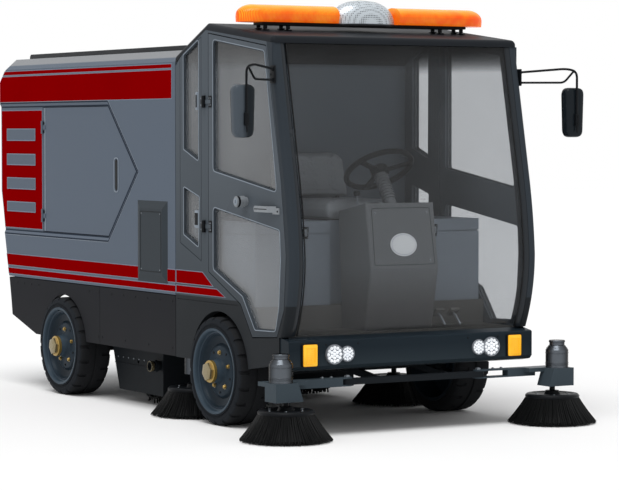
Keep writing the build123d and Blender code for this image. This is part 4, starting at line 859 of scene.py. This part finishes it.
# Light bar
BEACON_Y = -1292.0
BEACON_LOW = roof_z(BEACON_Y) + 28.0
BEACON_HIGH = BEACON_LOW + 97.0
LENS_STEPS = 96
for side, word in SIDES:
    # Each lens: an arched section with moulded ribs, closing in a rounded end.
    b = Build()
    x0, x1 = 178.5, HALF + 5.5
    low, high, deep = BEACON_LOW + 8.4, BEACON_HIGH - 1.6, 83.0
    shoulder = low + (high - low) * 0.45
    section = [(deep - 10, low), (deep, shoulder)]
    for k in range(1, 12):
        a = pi * k / 12
        section.append((deep * cos(a), shoulder + (high - shoulder) * sin(a)))
    section += [(-deep, shoulder), (-deep + 10, low)]
    rings = []
    for i in range(LENS_STEPS + 1):
        x = x0 + (x1 - x0) * (1 - (1 - i / LENS_STEPS) ** 1.25)
        end_in = max(0.0, (x - (x1 - 130)) / 130)
        wide = sqrt(max(0.0, 1 - end_in ** 2))
        tall = sqrt(max(0.0, 1 - max(0.0, end_in - 0.35) ** 2 * 1.6))
        rib = 0.7 if i % 2 else 0.0
        rings.append(b.row([
            at(side * x, BEACON_Y + y * max(0.05, wide) * (1 - rib / deep),
               low + (z - low) * (tall if wide > 0 else 0.4) - (rib * 0.6 if z > low + 1 else 0.0))
            for y, z in section]))
    b.skin(rings, capped=True)
    b.make(f"lens_{word}", "machine", ("amber_lens",), 50,
           replaces=("beacon_lenses",) if side < 0 else ())

# dome in the middle, tray under the bar and its feet
b = Build()
centre = at(0, BEACON_Y, BEACON_LOW)
rise, wide, deep = 129.0, 184.0, 96.0
rings = []
for i in range(16):
    a = pi / 2 * i / 16
    z = 10 + (rise - 10.5) * sin(a)
    r = cos(a) ** 0.8
    rings.append(b.row([
        centre + Vector((wide * r * cos(t), deep * r * sin(t), z)) / 1000 for t in turns(64)]))
rings.append(b.row([centre + Vector((0, 0, rise - 0.5)) / 1000]))
rings.insert(0, b.row([v.co - Vector((0, 0, 0.010)) for v in rings[0]]))
b.skin(rings)
b.mark([b.bm.faces.new(rings[0])])
# bright line round the dome's foot
b.tube([centre + Vector((wide * 1.002 * cos(t), deep * 1.004 * sin(t), 8)) / 1000 for t in turns(64)],
       2.6, 6, 2, closed=True)
b.box(-597, 597, BEACON_Y - 50, BEACON_Y + 50, BEACON_LOW - 6, BEACON_LOW + 8, 3, 1)
for x in (577, 448):
    for side in (-1, 1):
        for y in (BEACON_Y - 34, BEACON_Y + 34):
            # a cranked foot: a pad on the roof, a leg, and a screw through the pad
            z = roof_z(y)
            b.box(side * x - 12, side * x + 12, y - 20, y + 20, z - 0.5, z + 5, 1.5, 1)
            b.box(side * x - 9, side * x + 9, y - 6, y + 6, z + 2, BEACON_LOW - 2, 2, 1)
            b.stud(at(side * x, y - 13, z + 4.5), (0, 0, 1), 5, 3, 2, 10)
b.make("beacon_dome", "machine", ("silver", "black_plastic", "zinc"), 40,
       replaces=("beacon_base",))


# A pillars: rounded posts that follow the windscreen's line
screen_rows = ((-1628.0, roof_z(-1628) - 34.3), (-1756.0, 1253.0), (-1791.0, 1050.0), (-1810.0, 850.0),
               (-1790.0, 659.0), (-1731.0, 480.0))


def turn_between(a, b):
    """The shorter turn from one angle to another."""
    return (b - a + pi) % (2 * pi) - pi


def arc_through(a, m, c, steps):
    """Points on the arc from a through m to c, in the side view."""
    ax, ay, bx, by, cx, cy = *a, *m, *c
    d = 2 * (ax * (by - cy) + bx * (cy - ay) + cx * (ay - by))
    aa, bb, cc = (u * u + v * v for u, v in (a, m, c))
    ux = (aa * (by - cy) + bb * (cy - ay) + cc * (ay - by)) / d
    uy = (aa * (cx - bx) + bb * (ax - cx) + cc * (bx - ax)) / d
    r = hypot(ax - ux, ay - uy)
    start, half_way, end = (atan2(q[1] - uy, q[0] - ux) for q in (a, m, c))
    half_way = start + turn_between(start, half_way)
    sweep = half_way + turn_between(half_way, end) - start
    return [(ux + r * cos(start + sweep * k / steps), uy + r * sin(start + sweep * k / steps))
            for k in range(steps + 1)]


screen_line = [screen_rows[0], screen_rows[1]]
screen_line += arc_through(screen_rows[1], screen_rows[2], screen_rows[3], 10)[1:]
screen_line += arc_through(screen_rows[3], screen_rows[4], screen_rows[5], 10)[1:]


def screen_normal(k):
    a = screen_line[max(0, k - 1)]
    c = screen_line[min(len(screen_line) - 1, k + 1)]
    n = Vector((c[1] - a[1], -(c[0] - a[0]))).normalized()
    return n if n.x > 0 else -n


b = Build()
for side in (-1, 1):
    rings = []
    seal = []
    for k, (y, z) in enumerate(screen_line):
        n = screen_normal(k)
        line = []
        for j in range(13):
            w = j / 12
            line.append((666.5 - 31.5 * w, 2.2 + 15.0 * (1 - sqrt(max(0.0, 1 - w * w)))))
        line += [(635.0, 47), (666.5, 47)]
        rings.append(b.row([at(side * x, y + n.x * back, z + n.y * back) for x, back in line]))
        seal.append(at(side * 633.5, y + n.x * 5.0, z + n.y * 5.0))
    b.skin(rings, capped=True)
    # black seal between post and glass
    b.tube(seal, 3.6, 6, 1)
b.make("front_posts", "machine", ("cab_dark", "rubber"), 40, replaces=("a_pillars",))


# Lamps on the bumper
BUMPER_Y = -1776.0
LAMP_Z = 392
for side, word in SIDES:
    b = Build()
    for x, radius, deep in ((456, 49, 0.0), (382, 39, 3.5)):
        centre = at(side * x, BUMPER_Y + deep, LAMP_Z)
        front = (0, -1, 0)
        b.turned([(radius - 0.2, 0), (radius - 0.2, 9), (radius - 2.2, 13.2), (radius - 4.5, 13.2),
                  (radius - 6, 7), (0, 5)], centre, front, 40, 0)
        spots = [(0, 0)]
        for share, angles in ((0.36, turns(6, pi / 6)), (0.70, turns(12))):
            spots += [(radius * share * cos(a), radius * share * sin(a)) for a in angles]
        size = radius * 0.165
        for dx, dz in spots:
            b.turned([(size, 5.2), (size, 8), (size * 0.92, 10.4), (size * 0.6, 12.2), (0, 12.8)],
                     at(side * x + dx, BUMPER_Y + deep, LAMP_Z + dz), front, 16, 1)
    b.make(f"lamps_{word}", "machine", ("cup", "led"), 40,
           replaces=("round_lamps",) if side < 0 else ())


# Bumper: bolts
b = Build()
for side in (-1, 1):
    for x in (500, 320):
        b.stud(at(side * x, BUMPER_Y, 440), (0, -1, 0), 4.5, 2.5, 0, 12)
    for y in (-1760, -1715):
        b.stud(at(side * 707, y, 392), (side, 0, 0), 5.0, 3.0, 0, 12)
b.make("bumper_trim", "machine", ("black_plastic",))


# Mirrors: domed shells on bent rods
MIRROR_Y = -1780.0
MIRROR_Z = 1556.0


def smooth_line(points, reach=0.034):
    """Points of an open line with its corners bent round."""
    line = [points[0]]
    for a, p, c in zip(points, points[1:], points[2:]):
        first = p + (a - p).normalized() * min(reach, (a - p).length * 0.45)
        last = p + (c - p).normalized() * min(reach, (c - p).length * 0.45)
        for k in range(7):
            w = k / 6
            line.append(first * (1 - w) ** 2 + p * 2 * w * (1 - w) + last * w * w)
    return line + [points[-1]]


for side, word in SIDES:
    b = Build()
    x = side * (HALF + 243)
    outline = rounded([(-50, 1431), (50, 1431), (58, 1681), (-58, 1681)], 34, 7)
    rings = []
    for dy, share in ((24, 0.93), (22, 0.985), (14, 1.0), (4, 1.0), (-6, 0.985), (-14, 0.95), (-19, 0.88),
                      (-22, 0.76), (-23.5, 0.5), (-24, 0.2)):
        tall = 1 - (1 - share) * (58 / 125 if share > 0.6 else 0.9)
        rings.append(b.row([at(x + px * share, MIRROR_Y + dy, MIRROR_Z + (pz - MIRROR_Z) * tall)
                            for px, pz in outline]))
    b.skin(rings, capped=True)
    rear = MIRROR_Y + 24
    flat = [(x + px * 0.9, MIRROR_Z + (pz - MIRROR_Z) * 0.93) for px, pz in outline]
    b.prism([at(px, rear, pz) for px, pz in flat], Vector((0, 0.001, 0)), 2)
    b.ring([at(px, rear - 1, pz) for px, pz in grown(flat, 4.0)], [at(px, rear - 1, pz) for px, pz in flat],
           Vector((0, 0.0035, 0)), 1)
    root = side * (HALF + 5)
    elbow = side * (HALF + 193)
    rod = MIRROR_Y - 31
    upper = [at(root, -1648, 1758), at(elbow, rod + 20, 1776), at(x, rod, 1762), at(x, rod, 1496)]
    b.tube(smooth_line(upper), 6.0, 10, 1)
    lower = [at(root, -1650, 1706), at(elbow - side * 10, rod + 28, 1706),
             at(elbow + side * 34, rod + 8, 1762)]
    b.tube(smooth_line(lower, 0.02), 5.6, 10, 1)
    b.box(x - 11, x + 11, rod - 8, MIRROR_Y - 20, 1488, 1548, 4, 1)
    b.tube([at(x, rod - 6, 1455), at(x, rod - 3, 1496)], 4.0, 8, 1)
    for z in (1500, 1536):
        b.stud(at(x, rod - 8, z), (0, -1, 0), 4, 3, 1, 8)
    b.box(side * HALF, side * (HALF + 8), -1664, -1620, 1690, 1775, 3, 1)
    for z in (1706, 1758):
        b.turned([(11, 0), (10, 6), (6.5, 8), (0, 8)], at(side * (HALF + 8), -1648, z), (side, 0, 0), 16, 1)
    b.stud(at(side * (HALF + 8), -1628, 1732), (side, 0, 0), 5, 3, 1, 10)
    b.make(f"mirror_{word}", "machine", ("mirror_shell", "black_plastic", "mirror"), 40,
           replaces=("mirrors",) if side < 0 else ())


# Seat
def apply_modifier(ob, modifier):
    with bpy.context.temp_override(object=ob, active_object=ob, selected_objects=[ob]):
        bpy.ops.object.modifier_apply(modifier=modifier.name)


CLOTH_FRAMES = 20
SWELL_LIMIT = 0.008


def swell(ob):
    """Cloth pressure, with each point held to within a limit of its place."""
    before = [v.co.copy() for v in ob.data.vertices]
    cloth = ob.modifiers.new("cloth", "CLOTH")
    cloth.settings.use_pressure = True
    cloth.settings.uniform_pressure_force = 4.0
    cloth.settings.effector_weights.gravity = 0.0
    cloth.settings.quality = 5
    cloth.point_cache.frame_start = 1
    cloth.point_cache.frame_end = CLOTH_FRAMES
    for f in range(1, CLOTH_FRAMES + 1):
        bpy.context.scene.frame_set(f)
    apply_modifier(ob, cloth)
    bpy.context.scene.frame_set(1)
    for v, old in zip(ob.data.vertices, before):
        move = v.co - old
        if move.length > SWELL_LIMIT:
            v.co = old + move.normalized() * SWELL_LIMIT


def pad(name, shape, node, press):
    """A stuffed pad: a rounded block, swelled, with sewn channels and panels pressed in and smoothed once."""
    b = Build()
    shape(b)
    bmesh.ops.recalc_face_normals(b.bm, faces=b.bm.faces[:])
    mesh = bpy.data.meshes.new(name)
    b.bm.to_mesh(mesh)
    b.bm.free()
    ob = bpy.data.objects.new(name, mesh)
    bpy.context.scene.collection.objects.link(ob)
    bpy.context.view_layer.objects.active = ob
    remesh = ob.modifiers.new("remesh", "REMESH")
    remesh.mode = "VOXEL"
    remesh.voxel_size = 0.006
    apply_modifier(ob, remesh)
    swell(ob)
    for v in ob.data.vertices:
        v.co += press(v.co, v.normal)
    sub = ob.modifiers.new("smooth", "SUBSURF")
    sub.levels = 1
    sub.render_levels = 1
    apply_modifier(ob, sub)
    ob.data.materials.clear()
    ob.data.materials.append(M["seat_vinyl"])
    for poly in ob.data.polygons:
        poly.use_smooth = True
    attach(ob, "machine")
    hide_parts(node)


SEAT_HALF = 225.0
SEAT_FOOT = 1016.3
CUSHION_Y = -1085
CUSHION_HALF = 230


def cushion_shape(b):
    b.box(-SEAT_HALF + 10, SEAT_HALF - 10, CUSHION_Y - CUSHION_HALF, CUSHION_Y + CUSHION_HALF, SEAT_FOOT + 6,
          SEAT_FOOT + 94, 34, 0)


def back_shape(b):
    foot = SEAT_FOOT + 108
    rows = rounded([(-836, foot), (-734, foot), (-704, 1354), (-758, 1354), (-784, 1340)], 20, 4)
    half = SEAT_HALF - 10
    made = []
    for x, drop, squeeze in ((-half, 46, 14), (-half + 22, 16, 3), (-half + 60, 0, 0), (half - 60, 0, 0),
                             (half - 22, 16, 3), (half, 46, 14)):
        line = []
        for y, z in rows:
            inwards = squeeze if y < -780 else -squeeze if y > -760 else 0
            line.append(at(x, y + inwards, z - drop * max(0.0, (z - 1250) / 104)))
        made.append(b.row(line))
    b.skin(made, capped=True)


def cushion_press(co, normal):
    """Two sewn channels across the top of the cushion and a welt round its waist."""
    x, y, z = co.x * 1000, co.y * 1000 - Y_DATUM, co.z * 1000
    push = 0.0
    if normal.z > 0.5:
        for line in (-1190, -1050):
            push += 0.005 * exp(-((y - line) / 7) ** 2) * (1 if abs(x) < 190 else 0)
        push += 0.005 * exp(-((abs(x) - 168) / 6) ** 2) * (1 if -1290 < y < -880 else 0)
    push -= 0.0022 * exp(-((z - (SEAT_FOOT + 52)) / 4) ** 2) * (1 if abs(normal.z) < 0.4 else 0)
    return normal * -push


def back_press(co, normal):
    """A sunk panel on the front of the back with rows of small rounded squares and one tall one."""
    x, y, z = co.x * 1000, co.y * 1000 - Y_DATUM, co.z * 1000
    push = 0.0
    if normal.y < -0.5:
        inside = max(abs(x) - 176, abs(z - 1240) - 92)
        push += 0.007 / (1 + exp(inside / 3))
        for sx in (-120, -62, -4):
            for sz in (1292, 1240, 1188):
                d = max(abs(x - sx) - 17, abs(z - sz) - 15)
                push += 0.006 / (1 + exp(d / 1.6))
        d = max(abs(x - 104) - 28, abs(z - 1240) - 66)
        push += 0.004 / (1 + exp(d / 1.6))
    return normal * -push


pad("seat_pad", cushion_shape, "seat_cushion", cushion_press)
pad("back_pad", back_shape, "seat_back", back_press)

b = Build()
# seat pan, and the brackets and pivots of the back
b.box(-206, 206, -1296, -872, 1016.4, 1022, 2, 0)
for side in (-1, 1):
    b.box(side * 150, side * 172, -880, -730, 1016.4, 1040, 3, 0)
    b.box(side * 152, side * 170, -800, -744, 1030, 1150, 5, 0)
    b.stud(at(side * 172, -790, 1048), (side, 0, 0), 12, 6, 0, 20)
b.make("seat_frame", "machine", ("black_plastic",))


# Console: badge oval and panel line on its front, then the controls on its top
CONSOLE_Y = -1700
CONSOLE_FOLD = 790
CONSOLE_RISE = 320
CONSOLE_LEAN = 50
BADGE_Z = 905
b = Build()
tilt = atan2(CONSOLE_LEAN, CONSOLE_RISE)
console_out = Vector((0, -cos(tilt), sin(tilt)))


def on_console(x, z, lift=0.0):
    """A point on the console's front, above its fold."""
    y = CONSOLE_Y + CONSOLE_LEAN * (z - CONSOLE_FOLD) / CONSOLE_RISE
    return at(x, y, z) + console_out * lift / 1000


def badge_oval(half_wide, half_high, lift, thick, mat):
    points = [on_console(half_wide * cos(a), BADGE_Z + half_high * sin(a), lift) for a in turns(48)]
    b.prism(points, console_out * thick / 1000, mat)


badge_oval(76, 56, 0.1, 2.9, 1)
badge_oval(70, 50, 3.0, 0.8, 0)
badge_oval(68, 48, 3.8, 0.6, 1)
# a panel line round the console's front
outline = rounded([(-176, 806), (176, 806), (170, 1086), (-170, 1086)], 14, 5)
b.ring([on_console(*p, 0.1) for p in outline], [on_console(*p, 0.1) for p in grown(outline, -2.4)],
       console_out * 0.0009, 2)
for x in (-150, 150):
    for z in (826, 1062):
        b.stud(on_console(x, z), console_out, 5, 2.4, 3, 12)
b.make("console_badge", "machine", ("pale_trim_and_highlight", "badge", "black_plastic", "zinc"))

# console top, falling towards the driver: a dial, a row of rocker switches, a turning knob and a lever
TOP_FRONT_Y = -1650
TOP_FRONT_Z = 1110
TOP_DROP = 45
TOP_DEEP = 255
b = Build()
top_tilt = atan2(TOP_DROP, TOP_DEEP)
top_normal = Vector((0, sin(top_tilt), cos(top_tilt)))


def on_top(x, y):
    return at(x, y, TOP_FRONT_Z - (y - TOP_FRONT_Y) * TOP_DROP / TOP_DEEP)


turn = Matrix.Rotation(-top_tilt, 4, "X")
dial = on_top(-112, -1560)
b.turned([(52, 0), (52, 7), (47, 10), (43, 7), (0, 6)], dial, top_normal, 40, 0)
b.turned([(42, 6.2), (0, 6.4)], dial, top_normal, 40, 1)
for k in range(11):
    a = radians(-120 + k * 24)
    d = Vector((sin(a), cos(a) * cos(top_tilt), -cos(a) * sin(top_tilt)))
    base = dial + top_normal * 0.0072
    b.tube([base + d * 0.033, base + d * 0.040], 0.9, 6, 2)
hand = dial + top_normal * 0.008
b.tube([hand, hand + Vector((0.02, 0.02, -0.0035))], 1.0, 6, 3)
for x in range(84, 181, 24):
    z = on_top(x, -1560).z * 1000
    b.box(x - 9, x + 9, -1578, -1542, z - 2, z + 6, 2, 0, turn)
    b.box(x - 6, x + 6, -1572, -1548, z + 4, z + 9, 1.5, 1, turn)
b.turned([(20, 0), (18, 8), (15, 22), (12, 24), (0, 24)], on_top(130, -1480), top_normal, 24, 0)
lever = on_top(-130, -1470)
b.turned([(24, 0), (22, 4), (0, 4)], lever, top_normal, 24, 0)
b.tube([lever, lever + top_normal * 0.07], 5, 12, 4)
b.turned([(0, 62), (12, 64), (17, 74), (15, 86), (0, 92)], lever, top_normal, 20, 0)
b.make("console_controls", "machine", ("black_plastic", "screen", "dial_mark", "red_stripe", "zinc"))

# steering wheel: cap and the seams round its rim
wheel_tilt = radians(33)
wheel_up = Vector((0, sin(wheel_tilt), cos(wheel_tilt)))
wheel_mid = at(0, -1455, 1272)
b = Build()
b.turned([(44, 4), (42, 9), (34, 13), (18, 15), (0, 15.6)], wheel_mid, wheel_up, 40, 0)
b.turned([(30, 14.2), (28, 15.8), (0, 16.4)], wheel_mid, wheel_up, 40, 1)
flat = wheel_up.cross(Vector((1, 0, 0))).normalized()
for a in turns(28):
    radial = Vector((1, 0, 0)) * cos(a) + flat * sin(a)
    centre = wheel_mid + radial * 0.168
    seam = [centre + (radial * cos(t) + wheel_up * sin(t)) * 0.0143 for t in turns(12)]
    b.tube(seam, 0.7, 5, 0, closed=True)
b.make("wheel_trim", "hand_wheel", ("wheel_rubber", "black_plastic"))

# lining over the cab's rear wall
b = Build()
lining = rounded([(-640, 1090), (640, 1090), (640, 1806), (-640, 1806)], 30, 5)
b.prism([at(px, -660.4, pz) for px, pz in lining], Vector((0, -0.003, 0)), 0)
b.make("rear_lining", "machine", ("wall_grey",))

# lock and lever of the cab doors: keyhole disc, screws on the foot and a line along the blade
for side, word in SIDES:
    b = Build()
    out = (side, 0, 0)
    lock = at(side * HALF, -1375, 1120)
    b.turned([(27.3, 44), (28.2, 46), (28.2, 54), (26.8, 56)], lock, out, 36, 1)
    b.turned([(17, 59.8), (17, 61), (14, 61.4), (0, 61.4)], lock, out, 30, 0)
    b.box(side * (HALF + 61), side * (HALF + 61.9), -1377, -1373, 1112, 1128, 0, 1)
    for y in (-1692, -1656):
        b.stud(at(side * (HALF + 8), y, 1079), out, 5, 3.2, 1, 12)
    b.box(side * (HALF + 30), side * (HALF + 30.8), -1626, -1506, 1086, 1090, 0, 1)
    b.make(f"handle_trim_{word}", f"{word}_door", ("pale_trim_and_highlight", "black_plastic"))

# door hinges: black leaves with screws over the hinge, one on the door and one on the post
HINGE_FEET = (955, 1578)
for side, word in SIDES:
    for name, body, y0, y1 in ((f"hinge_leaf_{word}", f"{word}_door", -1026, -996),
                               (f"hinge_post_{word}", "machine", -940, -912)):
        b = Build()
        for z in HINGE_FEET:
            x = side * (HALF + 0.2)
            b.box(x, x + side * 3.2, y0, y1, z + 2, z + 60, 1.2, 0)
            for dy in (8, 22):
                for dz in (14, 48):
                    b.stud(at(x + side * 3.2, y0 + dy, z + dz), (side, 0, 0), 3.6, 2.2, 1, 10)
        b.make(name, body, ("black_plastic", "zinc"))
    b = Build()
    for z in HINGE_FEET:
        foot = at(side * (HALF + 9.3), -954, z)
        b.turned([(9.3, 1), (9.9, 2), (9.9, 60), (9.3, 61)], foot, (0, 0, 1), 24, 0)
    b.make(f"hinge_barrel_{word}", f"{word}_door", ("black_plastic",))

# amber markers: a rounded lens with a raised frame and two rows of moulded ribs, on a black tray
b = Build()
for side in (-1, 1):
    x = side * 594
    b.box(x - 46.5, x + 46.5, BUMPER_Y - 8, BUMPER_Y, 339.5, 445.8, 2.5, 0)
    b.box(x - 39, x + 39, BUMPER_Y - 17, BUMPER_Y - 6, 340.5, 445, 7, 1)
    window = rounded([(x - 27, 354), (x + 27, 354), (x + 27, 432), (x - 27, 432)], 8, 4)
    b.ring([at(px, BUMPER_Y - 16.5, pz) for px, pz in window],
           [at(px, BUMPER_Y - 16.5, pz) for px, pz in grown(window, -3.5)], Vector((0, -0.0032, 0)), 1)
    for dx in (-10, 10):
        for k in range(8):
            z = 363 + k * 8.6
            b.box(x + dx - 8, x + dx + 8, BUMPER_Y - 16, BUMPER_Y - 18.4, z - 2.6, z + 2.6, 0.8, 1)
b.make("marker_lenses", "machine", ("black_plastic", "amber_marker"),
       replaces=("amber_markers",))

# floor mat with raised bars, and two pedals
b = Build()
b.box(-620, 620, -1668, -1412, 480.1, 484, 1.5, 0)
for k in range(40):
    x = -606 + k * 31
    b.box(x, x + 14, -1660, -1420, 483.5, 486, 0.6, 0)
for x in (262, 352):
    b.tube([at(x, -1660, 500), at(x, -1620, 540), at(x, -1592, 556)], 6, 10, 1)
    b.box(x - 26, x + 26, -1622, -1566, 552, 566, 3, 0, Matrix.Rotation(radians(-36), 4, "X"))
b.make("pedals_mat", "machine", ("floor_grey", "zinc"))

# latches on the front of the seat box
b = Build()
for x in (-381, 381):
    b.box(x - 22, x + 22, -1372, -1376, 962, 990, 1.5, 0)
    b.box(x - 18, x + 18, -1372, -1380, 930, 958, 2, 0)
    b.box(x - 9, x + 9, -1374, -1388, 944, 978, 2.5, 1)
    for dx in (-14, 14):
        for z in (983, 937):
            b.stud(at(x + dx, -1376 if z > 960 else -1380, z), (0, -1, 0), 2.6, 1.6, 1, 8)
b.make("locker_latches", "machine", ("black_plastic", "zinc"))


# Lock of the tail door
TAIL_Y = 1554.0
b = Build()
b.box(-30, 30, TAIL_Y - 9, TAIL_Y - 1, 1180, 1240, 3, 0)
b.turned([(16, 0), (16, 6), (12, 8), (0, 8)], at(0, TAIL_Y - 1, 1210), (0, 1, 0), 24, 1)
b.box(-6, 6, TAIL_Y + 5, TAIL_Y + 12, 1186, 1222, 2, 1)
b.make("rear_lock", "tail_door", ("black_plastic", "zinc"))


# Front brush motors: bands, bolts and pivot nuts
for side, word in SIDES:
    b = Build()
    x, y = side * 800, FRONT_BRUSH["y"]
    foot = at(x, y, 0)
    up = (0, 0, 1)
    for z in (292, 300, 350):
        b.turned([(57.2, z), (58.6, z + 1.2), (58.6, z + 3.8), (57.2, z + 5)], foot, up, 48, 0)
    for a in turns(4, pi / 4):
        b.stud(at(x + 48 * cos(a), y + 48 * sin(a), 375), up, 5, 5, 1, 10)
        b.nut(at(x + 50 * cos(a), y + 50 * sin(a), 279.5), up, 6, 5, 1)
    for bar_x, size, high in ((470, 8, 6), (520, 8, 6), (380, 15, 9)):
        b.nut(at(side * bar_x, -1775, 279.4), up, size, high, 1)
    b.make(f"motor_trim_{word}", f"{word}_arm", ("motor_steel", "zinc"))


# Roller housing: bolts along the fold and a brass end on the drain pipe
DRAIN_Y = -224
b = Build()
for side in (-1, 1):
    x = side * 590
    for y in range(-230, 300, 62):
        b.stud(at(x, y, 238), (side, 0, 0), 4.5, 3, 0, 10)
    b.turned([(26.2, 44), (27.6, 46), (27.6, 62), (19.2, 62), (19.2, 52)], at(x, DRAIN_Y, 223), (side, 0, 0),
             32, 1)
    for z in (200, 246):
        b.nut(at(side * 612, DRAIN_Y, z), (side, 0, 0), 5, 4, 0)
b.make("housing_bolts", "machine", ("zinc", "brass"))


# Vent boxes: a raised line round the flat and corner screws
vent_line = rounded([(-498, 732), (-263, 732), (-263, 1046), (-498, 1046)], 8)
for side, word in SIDES:
    b = Build()
    x = side * (HALF + 12)
    b.side_ring(vent_line, grown(vent_line, -3.0), x, 1.2, 0)
    for y in (-486, -275):
        for z in (744, 1034):
            b.stud(at(x, y, z), (side, 0, 0), 4, 2.2, 1, 10)
    b.make(f"vent_trim_{word}", "machine", ("black_plastic", "zinc"))


# Closing: the bounds of every shown piece but the floor
low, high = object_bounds()
